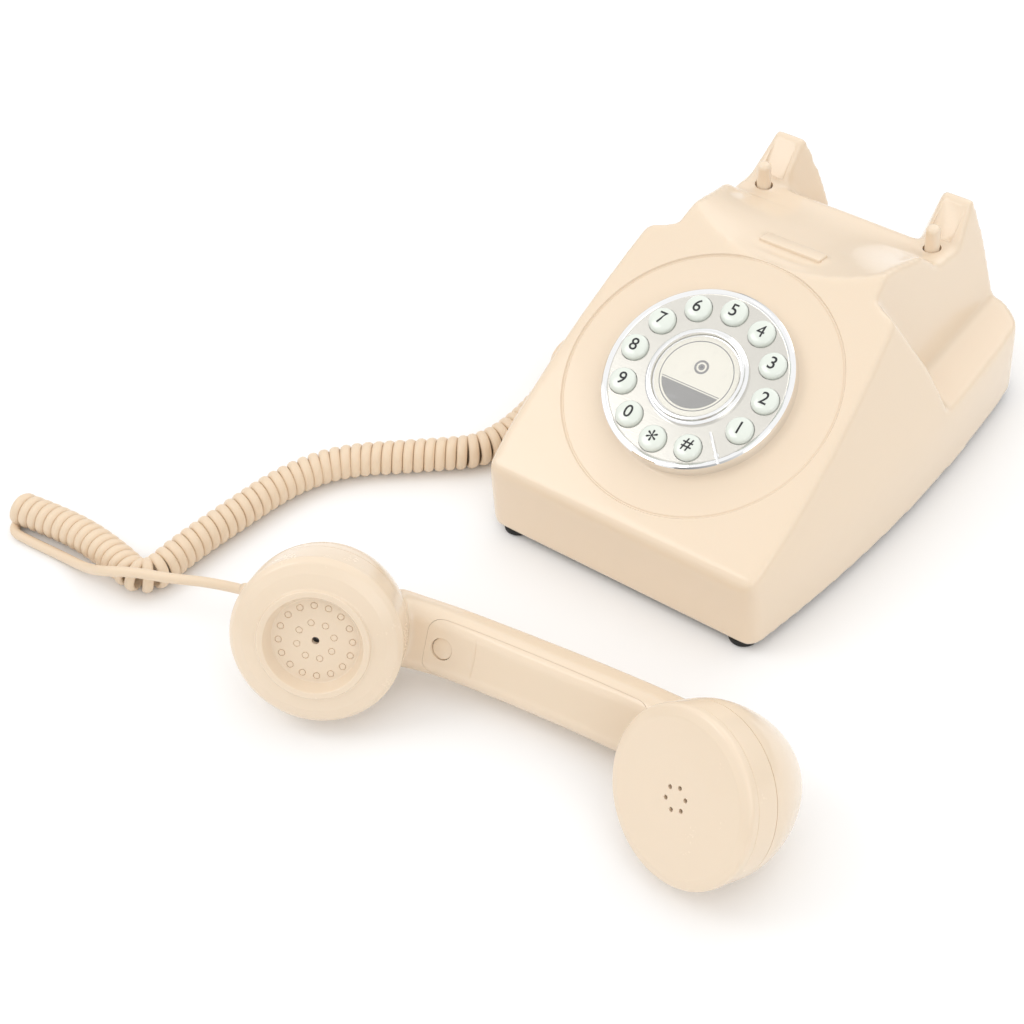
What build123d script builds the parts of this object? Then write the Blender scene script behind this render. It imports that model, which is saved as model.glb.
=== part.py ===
from build123d import *
import os
from math import cos, hypot, pi, radians, sin, sqrt, tan

"""Corded landline phone with a push-button dial face, off-hook handset and curly cord.

Millimetres, +Z up. The origin is on the desk, on the case's middle plane; the dial faces -Y
and +X is to the user's right. The handset is modelled in its own frame and then laid on the desk.
"""

os.makedirs("parts", exist_ok=True)

# ---- driving dimensions: case -------------------------------------------------------------
WALL = 2.5                      # moulded wall of the case and the handset
FOOT_H = 4.0                    # the feet lift the case off the desk
FRONT_Y, REAR_Y = -93.0, 107.5
HALF_W = 79.5                   # widest half width, at SIDE_MID_Y
SIDE_MID_Y, SIDE_R = 44.5, 620.0
SKIRT_Z = 38.0                  # top of the upright skirt
SIDE_LEAN, LEAN_BLEND = 0.40, 8.0
FACE_TILT = 24.8
DIAL_Y, DIAL_Z = -31.0, 66.8
HOOK_X, HOOK_Y = 41.0, 81.4     # hook pins
HOOK_PIN_R, HOOK_HOLE_R = 3.1, 3.9
GAP_HALF = 34.0                 # half width of the gap between the horns, at GAP_Y and GAP_Z
GAP_Y, GAP_Z = 87.0, 76.0
GAP_IN, GAP_UP = 0.267, 0.318   # how it closes towards the rear and opens upwards
PLATE_T = 2.4                   # base plate

# ---- driving dimensions: dial -------------------------------------------------------------
RING_R = 58.0                   # moulded ring round the dial
DIAL_R, DIAL_TOP, DIAL_T = 40.0, 5.5, 1.8
KEY_CIRCLE_R, KEY_R, KEY_FLANGE_R = 30.7, 5.7, 6.7
KEY_GAP = 0.25
KEY_FIRST, KEY_PITCH = -25.4, 29.0
KEYS = ["key_1", "key_2", "key_3", "key_4", "key_5", "key_6", "key_7", "key_8", "key_9",
        "key_0", "key_star", "key_hash"]
CENTRE_R, LENS_R, CARD_R = 21.3, 18.0, 17.6
OPENING_R = 37.2

# ---- driving dimensions: handset ----------------------------------------------------------
CAP_SPACING, CAP_R = 157.0, 33.75
EAR_TOE, MOUTH_TOE = 18.9, 22.2          # each cap's face turns towards the middle
SEAM_H = -13.0                           # joint between a cap and the shell, behind the rim
GRIP_Z = -34.0                           # inner face of the grip
PANEL_LEN, PANEL_W, PANEL_Z = 96.0, 23.2, -38.4
PLUG_X, PLUG_R = -42.2, 4.35             # round plug over the grip's screw
HANDSET_AT = (17.3, -196.3, 39.0)        # middle between the caps
HANDSET_HEADING, HANDSET_ROLL = 5.57, 29.16

# ---- driving dimensions: cord -------------------------------------------------------------
CORD_D, COIL_D = 4.6, 14.8
COIL_Z = COIL_D / 2 + 0.1
TAIL_BASE_ROUTE = [(-84.3, 20.0, 12.5), (-94.5, 19.5, 11.5), (-101.0, 9.0, 9.0), (-97.5, -3.5, 7.8),
                   (-88.2, -12.2, 7.5)]
COIL_ROUTE = [(-87.6, -18.5), (-83.0, -57.0), (-113.5, -81.5), (-139.5, -101.5), (-151.0, -123.0),
              (-156.5, -152.0), (-161.0, -178.0), (-162.0, -201.5), (-184.0, -196.5), (-211.0, -194.6),
              (-237.5, -198.6)]
TAIL_HANDSET_ROUTE = [(-238.0, -197.5, 2.5), (-237.5, -208.0, 2.5), (-222.0, -207.4, 2.5),
                      (-205.0, -206.4, 2.8), (-188.0, -208.4, 7.5), (-174.0, -211.0, 16.5),
                      (-160.0, -206.5, 20.4), (-145.0, -201.0, 20.4)]

NODES = {}


def keep(name, shape):
    """Remember one sub-part under its node name."""
    NODES[name] = shape


def cylinder(radius, z0, z1, x=0.0, y=0.0):
    """A plain upright cylinder between two heights."""
    return Pos(x, y, z0) * extrude(Circle(radius), z1 - z0)


def ring(outer, inner, z0, z1):
    """A plain upright ring between two heights."""
    return extrude(Pos(0, 0, z0) * (Circle(outer) - Circle(inner)), z1 - z0)


def block(x0, x1, y0, y1, z0, z1):
    """A box between two corners."""
    return Pos((x0 + x1) / 2, (y0 + y1) / 2, (z0 + z1) / 2) * Box(x1 - x0, y1 - y0, z1 - z0)


# ---- case ---------------------------------------------------------------------------------
def half_width(y):
    """Half width of the bowed skirt at a depth y."""
    return HALF_W - (y - SIDE_MID_Y) ** 2 / (2 * SIDE_R)


def lean(z):
    """How far the flank has leaned inwards at a height z."""
    above = z - SKIRT_Z
    return SIDE_LEAN / 2 * (above + sqrt(above ** 2 + LEAN_BLEND ** 2))


def flank_section(y, inset):
    """Cross-section of the case's flanks in the plane at y."""
    foot = half_width(y) - inset + lean(FOOT_H)
    side = [(foot - lean(z), z) for z in (FOOT_H - 1, 20, 32, 40, 50, 64, 84, 106)]
    right = Spline(*[Vector(x, y, z) for x, z in side])
    left = Spline(*[Vector(-x, y, z) for x, z in reversed(side)])
    top = Line(right @ 1, left @ 0)
    return Wire([Line(left @ 1, right @ 0), right, top, left])


def skirt_outline(inset):
    """Plan of the case: bowed sides and rounded corners."""
    xf, xr = half_width(FRONT_Y), half_width(REAR_Y)
    outline = make_face([
        Line((-xf, FRONT_Y), (xf, FRONT_Y)),
        ThreePointArc((xf, FRONT_Y), (HALF_W, SIDE_MID_Y), (xr, REAR_Y)),
        Line((xr, REAR_Y), (-xr, REAR_Y)),
        ThreePointArc((-xr, REAR_Y), (-HALF_W, SIDE_MID_Y), (-xf, FRONT_Y))])
    outline = fillet(outline.vertices().sort_by(Axis.Y)[:2], 7)
    rear = [v for v in outline.vertices() if abs(v.Y - REAR_Y) < 0.01]
    outline = fillet(rear, 20)
    return offset(outline, -inset) if inset else outline


SIDE_PROFILE = [((-93, 3), 0), ((-93, 38.2), 6), ((34, 96.8), 9), ((61, 88), 5), ((70.5, 77.8), 4),
                ((86.5, 75.8), 3), ((100.8, 88.6), 1.8), ((104.2, 89.0), 1.8), ((108, 62), 20), ((108, 3), 0)]


def side_prism(inset):
    """Side view of the case, as wide as the world: tilted face, rims, pin platform and horns."""
    profile = make_face(Polyline(*[point for point, _ in SIDE_PROFILE], close=True))
    for (y, z), radius in SIDE_PROFILE:
        if radius:
            corner = min(profile.vertices(), key=lambda v: hypot(v.X - y, v.Y - z))
            profile = fillet(corner, radius)
    if inset:
        profile = offset(profile, -inset)
    return extrude(Plane.YZ * profile, 100, both=True)


def trough(inset):
    """Space above the cradle's hollow floor, flattening towards the rear."""
    half = 44.0 + inset
    wires = []
    for y, middle, sag in ((18, 91.6, 9.0), (40, 86.3, 8.6), (58, 81.4, 5.6), (72, 77.5, 0.5), (90, 75.3, 0.1)):
        z = middle - inset
        floor = ThreePointArc((-half, y, z + sag), (0, y, z), (half, y, z + sag))
        sides = Polyline((half, y, z + sag), (half, y, 120), (-half, y, 120), (-half, y, z + sag))
        wires.append(Wire([floor] + sides.edges()))
    return Solid.make_loft(wires)


def rear_gap(inset):
    """Space behind the cradle floor and between the horns: the finger hold."""
    side = make_face(Polyline((84.5 - inset, 75.2 - inset), (84.5 - inset, 130), (130, 130),
                              (130, 30), (108, 46 - inset), close=True))
    ends = []
    for z in (20, 130):
        near, far = [GAP_HALF + 1.08 * inset - GAP_IN * (y - GAP_Y) + GAP_UP * (z - GAP_Z) for y in (70, 120)]
        corners = [(near, 70), (far, 120), (-far, 120), (-near, 70)]
        ends.append(Wire.make_polygon([Vector(x, y, z) for x, y in corners], close=True))
    return extrude(Plane.YZ * side, 100, both=True) & Solid.make_loft(ends, True)


def cup_hollow(inset, side):
    """Space beside the tower where a handset cup hangs, on the side +1 or -1."""
    def plan(z, x, y):
        kx, ky = x - 1.1 * inset, y - 1.1 * inset
        points = [(kx, ky), (kx + 79, ky - 42), (140, ky - 42), (140, 140), (kx, 140)]
        return Wire.make_polygon([Vector(side * px, py, z) for px, py in points], close=True)

    walls = Solid.make_loft([plan(30, 62.0, 46.0), plan(60, 54.6, 38.2), plan(112, 41.8, 14.2)], True)
    above = make_face(Polyline((40, 45 - inset), (60, 40.6 - inset), (79, 38.2 - inset),
                               (150, 20 - inset), (150, 160), (40, 160), close=True))
    above = extrude(Plane.XZ * above, 200, both=True)
    return walls & (above if side > 0 else mirror(above, Plane.YZ))


def case_body(inset):
    """The case's outer form, or its inner form when inset by the wall."""
    body = Solid.make_loft([flank_section(y, inset) for y in (-100, -60, -20, 20, 60, 112)])
    body = body & extrude(skirt_outline(inset), 130) & side_prism(inset)
    body = body - trough(inset) - rear_gap(inset)
    for side in (1, -1):
        body = body - cup_hollow(inset, side)
    return body


DIAL_PLANE = Plane(origin=(0, DIAL_Y, DIAL_Z), x_dir=(1, 0, 0),
                   z_dir=(0, -sin(radians(FACE_TILT)), cos(radians(FACE_TILT))))
BOSSES = [(52, -62), (-52, -62), (60, 88), (-60, 88)]
JACK_Y, JACK_Z = 20.0, 12.5
LINE_JACK_X, LINE_JACK_Z = 30.0, 17.0


def on_dial(shape):
    """Place a shape from the dial's own frame onto the tilted face."""
    return DIAL_PLANE.location * shape


def make_case():
    """Case shell with its dial seat, openings and screw bosses."""
    outer, inner = case_body(0), case_body(WALL)
    shell = outer - inner - extrude(skirt_outline(WALL), 9)
    for x, y in BOSSES:
        shell = shell + (cylinder(4.0, FOOT_H + PLATE_T, 60, x, y) & outer)
        shell = shell - cylinder(1.5, FOOT_H, 20, x, y)
    seat = on_dial(cylinder(RING_R - 0.6, -0.6, 30))
    groove = on_dial(ring(RING_R + 0.5, RING_R - 0.7, -0.9, 10))
    shell = shell - seat - groove
    shell = shell - on_dial(cylinder(OPENING_R, -20, 20))
    for angle in (30, 150, 270):
        post = Rot(0, 0, angle) * Pos(41.5, 0, 0) * cylinder(2.6, -6.1, -1.5)
        hole = Rot(0, 0, angle) * Pos(41.5, 0, 0) * cylinder(1.1, -7, -1.8)
        shell = shell + on_dial(post) - on_dial(hole)
    for side in (1, -1):
        shell = shell - cylinder(HOOK_HOLE_R, 60, 95, side * HOOK_X, HOOK_Y)
    shell = shell - block(-90, -60, JACK_Y - 6.4, JACK_Y + 6.4, JACK_Z - 5.4, JACK_Z + 5.4)
    shell = shell - block(LINE_JACK_X - 7.4, LINE_JACK_X + 7.4, REAR_Y - 10, REAR_Y + 10,
                          LINE_JACK_Z - 6.4, LINE_JACK_Z + 6.4)
    bar_slope = Rot(-14.0, 0, 0)
    bar = fillet(Box(28, 6.6, 6).edges().filter_by(Axis.Z), 1.6)
    bar = fillet(bar.faces().sort_by(Axis.Z)[-1].edges(), 1.0)
    shell = shell + Pos(0, 37.8, 85.6) * bar_slope * bar
    for side in (1, -1):
        panel = fillet(Box(10.0, 15, 3.2).edges().filter_by(Axis.Z), 2.4)
        shell = shell - Pos(side * HOOK_X, 93.4, 82.1) * Rot(41.8, 0, 0) * panel
    shell = shell - Pos(0, 0, -10) * Box(400, 400, 2 * (FOOT_H + 10))
    keep("case_shell", shell)
    return inner


def make_base():
    """Base plate, feet, its screws and the ballast."""
    plate = extrude(Pos(0, 0, FOOT_H) * skirt_outline(WALL + 0.4), PLATE_T)
    for x, y in BOSSES:
        plate = plate - cylinder(1.8, 0, 10, x, y) - cylinder(3.4, 0, FOOT_H + 1.0, x, y)
    feet = {"foot_front_left": (-55.6, -85.3), "foot_front_right": (55.6, -85.3),
            "foot_rear_left": (-60, 72), "foot_rear_right": (60, 72)}
    for name, (x, y) in feet.items():
        plate = plate - cylinder(2.5, 0, 10, x, y)
        foot = cylinder(6.2, 0, FOOT_H - 0.3, x, y) + cylinder(4.6, 2, FOOT_H, x, y)
        foot = chamfer(foot.faces().sort_by(Axis.Z)[0].edges(), 0.8)
        keep(name, foot + cylinder(2.5, FOOT_H, FOOT_H + PLATE_T, x, y))
    for row in range(4):
        for col in range(4):
            plate = plate - cylinder(1.3, 0, 10, -24 + 6 * col, 14 + 6 * row)
    keep("base_plate", plate)
    screws = []
    for x, y in BOSSES:
        head = cylinder(3.1, FOOT_H - 0.9, FOOT_H + 0.95, x, y)
        slot = block(x - 2.2, x + 2.2, y - 0.4, y + 0.4, FOOT_H - 1, FOOT_H - 0.2)
        screws.append(head + cylinder(1.42, FOOT_H + 0.9, 16, x, y) - slot)
    keep("base_screws", Compound(screws))
    ballast = block(-26, 26, -74, -38, FOOT_H + PLATE_T, FOOT_H + PLATE_T + 6)
    keep("ballast_weight", fillet(ballast.edges().filter_by(Axis.Z), 3))
    speaker = cylinder(19, FOOT_H + PLATE_T, FOOT_H + PLATE_T + 4, -15, 23)
    speaker = speaker + cylinder(10, FOOT_H + PLATE_T + 4, FOOT_H + PLATE_T + 11, -15, 23)
    keep("sounder", speaker)
    board_z = 14.0
    board = block(5, 58, -28, 52, board_z, board_z + 1.6)
    for x, y, w, d, h in ((20, -10, 16, 16, 2.4), (42, -14, 12, 8, 5), (22, 16, 8, 18, 3), (45, 12, 10, 10, 9),
                          (30, 38, 22, 9, 4), (50, 38, 6, 6, 11)):
        board = board + block(x - w / 2, x + w / 2, y - d / 2, y + d / 2, board_z + 1.6, board_z + 1.6 + h)
    for x, y in ((9, -24), (54, -24), (9, 48), (54, 48)):
        board = board + cylinder(2.6, FOOT_H + PLATE_T, board_z, x, y)
    keep("main_board", board)


def make_dial():
    """Everything on and behind the dial face."""
    plate = cylinder(DIAL_R, -0.6, DIAL_TOP)
    plate = fillet(plate.faces().sort_by(Axis.Z)[-1].edges(), 0.7)
    plate = plate - cylinder(DIAL_R - 1.6, -1, DIAL_TOP - DIAL_T)
    key_base = Pos(KEY_CIRCLE_R, 0, 0)
    for number in range(len(KEYS)):
        turn = Rot(0, 0, KEY_FIRST + number * KEY_PITCH)
        plate = plate - turn * key_base * cylinder(KEY_R + KEY_GAP, 0, 10)
    plate = plate - cylinder(6, 0, 10)
    stop_turn = Rot(0, 0, -47)
    plate = plate - stop_turn * Pos(36.0, 0, 0) * cylinder(1.2, 0, 10)
    keep("dial_plate", on_dial(plate))
    for number, name in enumerate(KEYS):
        dome_r = KEY_R
        body = cylinder(dome_r, 1.0, DIAL_TOP + 3.1)
        body = fillet(body.faces().sort_by(Axis.Z)[-1].edges(), 1.7)
        body = body + cylinder(KEY_FLANGE_R, 2.2, 3.3) + cylinder(2.2, -2.0, 1.0)
        turn = Rot(0, 0, KEY_FIRST + number * KEY_PITCH)
        keep(name, on_dial(turn * key_base * body))
    stop = block(25.4, 40.6, -0.9, 0.9, DIAL_TOP, DIAL_TOP + 0.9)
    stop = fillet(stop.edges().filter_by(Axis.Z), 0.8)
    stop = stop + Pos(36.0, 0, 0) * cylinder(1.15, 2.0, DIAL_TOP)
    keep("finger_stop", on_dial(stop_turn * stop))
    steps = ring(CENTRE_R, LENS_R + 0.15, DIAL_TOP, DIAL_TOP + 1.4)
    steps = steps + ring(CENTRE_R - 1.7, LENS_R + 0.15, DIAL_TOP, DIAL_TOP + 2.6)
    steps = steps + ring(LENS_R + 0.5, 7, DIAL_TOP, DIAL_TOP + 0.7) + ring(5.9, 4.5, 2.5, DIAL_TOP + 0.7)
    steps = steps + ring(8.0, 5.0, DIAL_TOP, DIAL_TOP + 0.7)
    keep("centre_ring", on_dial(steps))
    card = cylinder(CARD_R, DIAL_TOP + 0.75, DIAL_TOP + 1.15)
    keep("centre_card", on_dial(card))
    lens = cylinder(LENS_R, DIAL_TOP + 1.2, DIAL_TOP + 2.4)
    keep("centre_lens", on_dial(fillet(lens.faces().sort_by(Axis.Z)[-1].edges(), 0.5)))
    mat = cylinder(39.0, -6.0, -4.9) - cylinder(14, -7, 0)
    for number in range(len(KEYS)):
        turn = Rot(0, 0, KEY_FIRST + number * KEY_PITCH)
        mat = mat + turn * key_base * cylinder(4.2, -4.9, -3.7)
    board = cylinder(44.5, -7.7, -6.1)
    for angle in (30, 150, 270):
        spot = Rot(0, 0, angle) * Pos(41.5, 0, 0)
        mat = mat - spot * cylinder(2.9, -8, 0)
        board = board - spot * cylinder(1.3, -9, -5)
    keep("key_mat", on_dial(mat))
    keep("key_board", on_dial(board))
    screws = [on_dial(Rot(0, 0, angle) * Pos(41.5, 0, 0) * (cylinder(2.2, -9.2, -7.75) + cylinder(1.05, -7.8, -2.2)))
              for angle in (30, 150, 270)]
    keep("dial_screws", Compound(screws))


def make_hook():
    """Hook pins on their bridge, the return springs under it and the switch it works."""
    pins = block(-47, 47, HOOK_Y - 4, HOOK_Y + 4, 55, 59)
    pins = fillet(pins.edges().filter_by(Axis.Z), 2.5)
    for side in (1, -1):
        pin = cylinder(HOOK_PIN_R, 58, 87.2, side * HOOK_X, HOOK_Y)
        pin = fillet(pin.faces().sort_by(Axis.Z)[-1].edges(), 2.2)
        pins = pins + pin
        pins = pins + cylinder(2.0, 50, 55, side * 30, HOOK_Y)
    keep("hook_pins", pins)
    coils = []
    for side in (1, -1):
        turns, pitch, z0 = 9, 3.6, 20.0
        outline = [(3.0, z0)]
        for turn in range(turns):
            outline += [(4.2, z0 + (turn + 0.3) * pitch), (3.0, z0 + (turn + 0.9) * pitch)]
        top = outline[-1][1]
        inner = [(r - 0.8, z) for r, z in reversed(outline)]
        face = make_face(Polyline(*(outline + inner), close=True))
        spring = revolve(Plane.XZ * face, Axis.Z)
        coils.append(Pos(side * 30, HOOK_Y, 54.9 - top) * spring)
    keep("hook_springs", Compound(coils))
    z0 = 54.9 - (top - 20.0)
    seats = block(-38, 38, HOOK_Y - 5, HOOK_Y + 5, z0 - 3.0, z0)
    for side in (1, -1):
        seats = seats + cylinder(1.9, z0, z0 + 6, side * 30, HOOK_Y)
        seats = seats + block(side * 38 - 4, side * 38 + 4, HOOK_Y - 5, HOOK_Y + 5, FOOT_H + PLATE_T, z0)
    keep("hook_bracket", seats)
    switch = block(-7, 7, HOOK_Y - 3.5, HOOK_Y + 3.5, z0, z0 + 11)
    switch = switch + block(-7, 7, HOOK_Y - 1.8, HOOK_Y + 1.8, z0 + 11.0, z0 + 11.6)
    keep("hook_switch", switch + cylinder(1.4, z0 + 11, z0 + 14, 2, HOOK_Y))


def make_jacks():
    """Handset socket in the left flank and line socket in the rear wall, and the cord's plug."""
    wall_x = -half_width(JACK_Y)
    jack = block(wall_x + 0.6, wall_x + 16, JACK_Y - 6.2, JACK_Y + 6.2, JACK_Z - 4.1, JACK_Z + 5.2)
    jack = jack - block(wall_x - 1, wall_x + 12, JACK_Y - 4.1, JACK_Y + 4.1, JACK_Z - 3.2, JACK_Z + 3.6)
    keep("handset_jack", jack)
    plug = block(wall_x - 5.0, wall_x + 11, JACK_Y - 3.8, JACK_Y + 3.8, JACK_Z - 3.0, JACK_Z + 3.2)
    plug = fillet(plug.faces().sort_by(Axis.X)[0].edges(), 1.2)
    keep("cord_plug", plug)
    x, z = LINE_JACK_X, LINE_JACK_Z
    line = block(x - 7.2, x + 7.2, REAR_Y - 15, REAR_Y - 0.4, z - 6.2, z + 6.2)
    line = line - block(x - 5.0, x + 5.0, REAR_Y - 12, REAR_Y + 1, z - 3.4, z + 3.4)
    keep("line_jack", line)


# ---- handset ------------------------------------------------------------------------------
_roll, _head = radians(HANDSET_ROLL), radians(HANDSET_HEADING)
HANDSET_PLANE = Plane(
    origin=HANDSET_AT, x_dir=(cos(_head), sin(_head), 0),
    z_dir=(cos(_roll) * sin(_head), -cos(_roll) * cos(_head), sin(_roll)))
EAR = Pos(CAP_SPACING / 2, 0, 0) * Rot(0, -EAR_TOE, 0)
MOUTH = Pos(-CAP_SPACING / 2, 0, 0) * Rot(0, MOUTH_TOE, 0)
CUP_BACK = [(33.2, SEAM_H), (32.7, -18), (30.9, -24), (28.1, -30), (24.5, -36), (19.6, -42), (13.0, -47)]
CUP_DEPTH = 50.0


def revolved(outline):
    """Turn a closed outline of (radius, height) points about the vertical axis."""
    return revolve(Plane.XZ * make_face(outline), Axis.Z)


def cup(inset):
    """Back of a cup: a deep bowl behind the seam."""
    curve = [(r - inset, h) for r, h in CUP_BACK] + [(0, -CUP_DEPTH + inset)]
    bowl = Spline(*curve, tangents=[(-0.05, -1), (-1, 0)])
    if inset:
        curve[0] = (curve[0][0], SEAM_H + 0.01)
        bowl = Spline(*[(r, max(h, -CUP_DEPTH + inset)) for r, h in curve], tangents=[(-0.05, -1), (-1, 0)])
    closing = Polyline((0, -CUP_DEPTH + inset), (0, curve[0][1]), curve[0])
    return revolved([bowl] + list(closing.edges()))


GRIP_SECTIONS = [(-68, 30.0, -27.0, -44.5), (-45, 28.0, GRIP_Z, -50.5), (-15, 26.5, GRIP_Z - 0.3, -53.8),
                 (15, 26.5, GRIP_Z - 0.3, -54.6), (45, 28.0, GRIP_Z, -52.5), (70, 30.0, -26.0, -48.0)]


def grip(inset):
    """The handle between the cups, as a loft of rounded sections."""
    wires = []
    for x, width, near, far in GRIP_SECTIONS:
        section = RectangleRounded(width - 2 * inset, near - far - 2 * inset, 6.5 - inset)
        wires.append((Plane(origin=(x, 0, (near + far) / 2), x_dir=(0, 1, 0), z_dir=(1, 0, 0)) * section).wire())
    return Solid.make_loft(wires)


def panel_cut(gap):
    """Prism through the inner face of the grip that bounds the grip panel."""
    outline = RectangleRounded(PANEL_LEN + 2 * gap, PANEL_W + 2 * gap, 6 + gap)
    return extrude(Pos(-1, 0, PANEL_Z - gap) * outline, 12)


BOOT_AT = (-112.6, 0.0, -18.0)
BOOT_LEN = 15.0
BOOT_PLANE = Plane(origin=BOOT_AT, x_dir=(0, 1, 0), z_dir=(-0.955, -0.22, -0.17))


def make_handset():
    """Handset shell, caps, capsules and the pieces inside, laid on the desk."""
    lay = HANDSET_PLANE.location
    boot_hole = BOOT_PLANE.location * cylinder(4.2, -8, 8)
    neck = fillet(block(-68, -51.5, -10.5, 10.5, -42, -31.9).edges().filter_by(Axis.X), 1.5)
    shell = EAR * cup(0) + MOUTH * cup(0) + grip(0) + neck
    front = block(-60, 60, -60, 60, SEAM_H, 60)
    shell = shell - EAR * cup(WALL) - MOUTH * cup(WALL) - grip(WALL) - EAR * front - MOUTH * front
    shell = shell - panel_cut(0.12) - boot_hole
    keep("handset_shell", lay * shell)
    panel = (grip(0) & panel_cut(0)) - block(-90, -51.4, -30, 30, -60, 0)
    panel = panel - Pos(PLUG_X, 0, 0) * cylinder(PLUG_R + 0.15, -40, -20)
    keep("grip_panel", lay * panel)
    plug = Pos(PLUG_X, 0, 0) * (cylinder(PLUG_R, -36.2, GRIP_Z + 0.1) - block(2.6, 4.0, -0.4, 0.4, GRIP_Z - 0.6, 0))
    keep("panel_plug", lay * plug)
    screw = Pos(PLUG_X, 0, 0) * (cylinder(2.4, -39.5, -37.6) + cylinder(1.2, -46, -39.5))
    keep("panel_screw", lay * screw)
    skin = [(33.2, SEAM_H), (33.55, -3.2), (CAP_R, -3.0), (CAP_R, -1.2)]
    ear_face = [(32.6, 0.9), (29.5, 2.0), (16, 2.9), (0, 3.2)]
    ear = revolved(list(Polyline(*skin).edges()) + [Spline((CAP_R, -1.2), *ear_face, tangents=[(0, 1), (-1, 0)])]
                   + list(Polyline((0, 3.2), (0, 0.8), (26.5, -0.4), (29.0, -4), (28.2, SEAM_H), (28.0, SEAM_H - 5),
                                   (27.9, SEAM_H - 5.5), (29.7, SEAM_H - 5.5), (29.9, SEAM_H), (33.2, SEAM_H)).edges()))
    for angle in range(0, 360, 60):
        ear = ear - Rot(0, 0, angle + 20) * Pos(4.7, 0, 0) * cylinder(0.95, -5, 10)
    keep("ear_cap", lay * (EAR * ear))
    lip = [(32.4, 1.5), (28.0, 3.6), (23.2, 4.5)]
    mouth = revolved(
        list(Polyline(*skin).edges())
        + [Spline((CAP_R, -1.2), *lip, tangents=[(0, 1), (-1, 0.1)])]
        + list(Polyline((23.2, 4.5), (22.2, 4.7), (21.9, 6.0), (21.2, 6.5), (20.2, 6.5), (19.5, 6.0), (17.4, 1.4),
                        (16.8, 1.06), (0, 1.06), (0, -1.2), (20, -1.2), (27, -0.8), (29.0, -4), (28.2, SEAM_H),
                        (27.9, SEAM_H - 5.5), (29.7, SEAM_H - 5.5), (29.9, SEAM_H), (33.2, SEAM_H)).edges()))
    mouth = mouth - cylinder(1.5, -5, 10)
    for count, radius in ((16, 14.4), (8, 7.3)):
        for index in range(count):
            spot = Rot(0, 0, 360 * (index + 0.5) / count) * Pos(radius, 0, 0)
            mouth = mouth - spot * ring(1.45, 1.0, 0.76, 3)
    keep("mouth_cap", lay * (MOUTH * mouth))
    keep("ear_gasket", lay * (EAR * ring(25.5, 15, -2.4, -0.6)))
    receiver = cylinder(26.5, -10.0, -2.5) + cylinder(15, -17, -10)
    keep("receiver_capsule", lay * (EAR * receiver))
    keep("mouth_gasket", lay * (MOUTH * ring(17.0, 4, -3.0, -1.3)))
    keep("microphone_capsule", lay * (MOUTH * (cylinder(19.0, -12, -3.1) + cylinder(8, -16, -12))))
    keep("handset_weight", lay * block(-28, 30, -7, 7, -49, -40))
    boot = revolved(list(Polyline((0, -9.5), (5.4, -9.5), (5.4, -6.6), (4.1, -6.6), (4.1, 4.5),
                                  (2.9, BOOT_LEN), (0, BOOT_LEN), (0, -9.5)).edges()))
    keep("cord_boot", lay * (BOOT_PLANE.location * boot))


# ---- cord ---------------------------------------------------------------------------------
def tube(name, route, diameter):
    """One stretch of cord: straight runs and tangent arcs, as large as the runs allow."""
    points = [Vector(*point) for point in route]
    radii = []
    for before, corner, after in zip(points, points[1:], points[2:]):
        half_turn = radians((corner - before).get_angle(after - corner)) / 2
        radii.append(0.45 * min((corner - before).length, (after - corner).length) / tan(half_turn))
    path = FilletPolyline(*points, radius=radii)
    start = Plane(origin=path @ 0, z_dir=path % 0)
    solid = sweep(start * Circle(diameter / 2), path=path)
    expected = pi * diameter ** 2 / 4 * path.length
    print(f"{name}: length {path.length:.1f}, radii {[round(r, 1) for r in radii]}, "
          f"volume ratio {solid.volume / expected:.4f}")
    keep(name, solid)


def make_cord():
    """The curly cord's fat tube and its two straight tails."""
    tube("cord_tail_base", TAIL_BASE_ROUTE, CORD_D)
    tube("cord_coil", [(x, y, COIL_Z) for x, y in COIL_ROUTE], COIL_D)
    boot = HANDSET_PLANE.location * BOOT_PLANE.location
    ends = [(boot * Pos(0, 0, BOOT_LEN + along)).position for along in (17.0, 0.1)]
    print("handset tail ends:", [tuple(round(c, 1) for c in end) for end in ends])
    tube("cord_tail_handset", TAIL_HANDSET_ROUTE + [tuple(end) for end in ends], CORD_D)


make_case()
make_base()
make_dial()
make_hook()
make_jacks()
make_cord()
make_handset()

for node_name, node_shape in NODES.items():
    export_step(node_shape, f"parts/{node_name}.step")
print(len(NODES), "nodes")
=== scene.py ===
"""Corded landline phone: finished meshes and finishes round the fixed frame."""
import logging
from dataclasses import dataclass, field
from enum import Enum
from math import ceil, cos, hypot, pi, radians, sin, tau
from typing import Any, Iterable, Sequence

import bmesh
import bpy
from mathutils import Matrix, Vector


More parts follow.
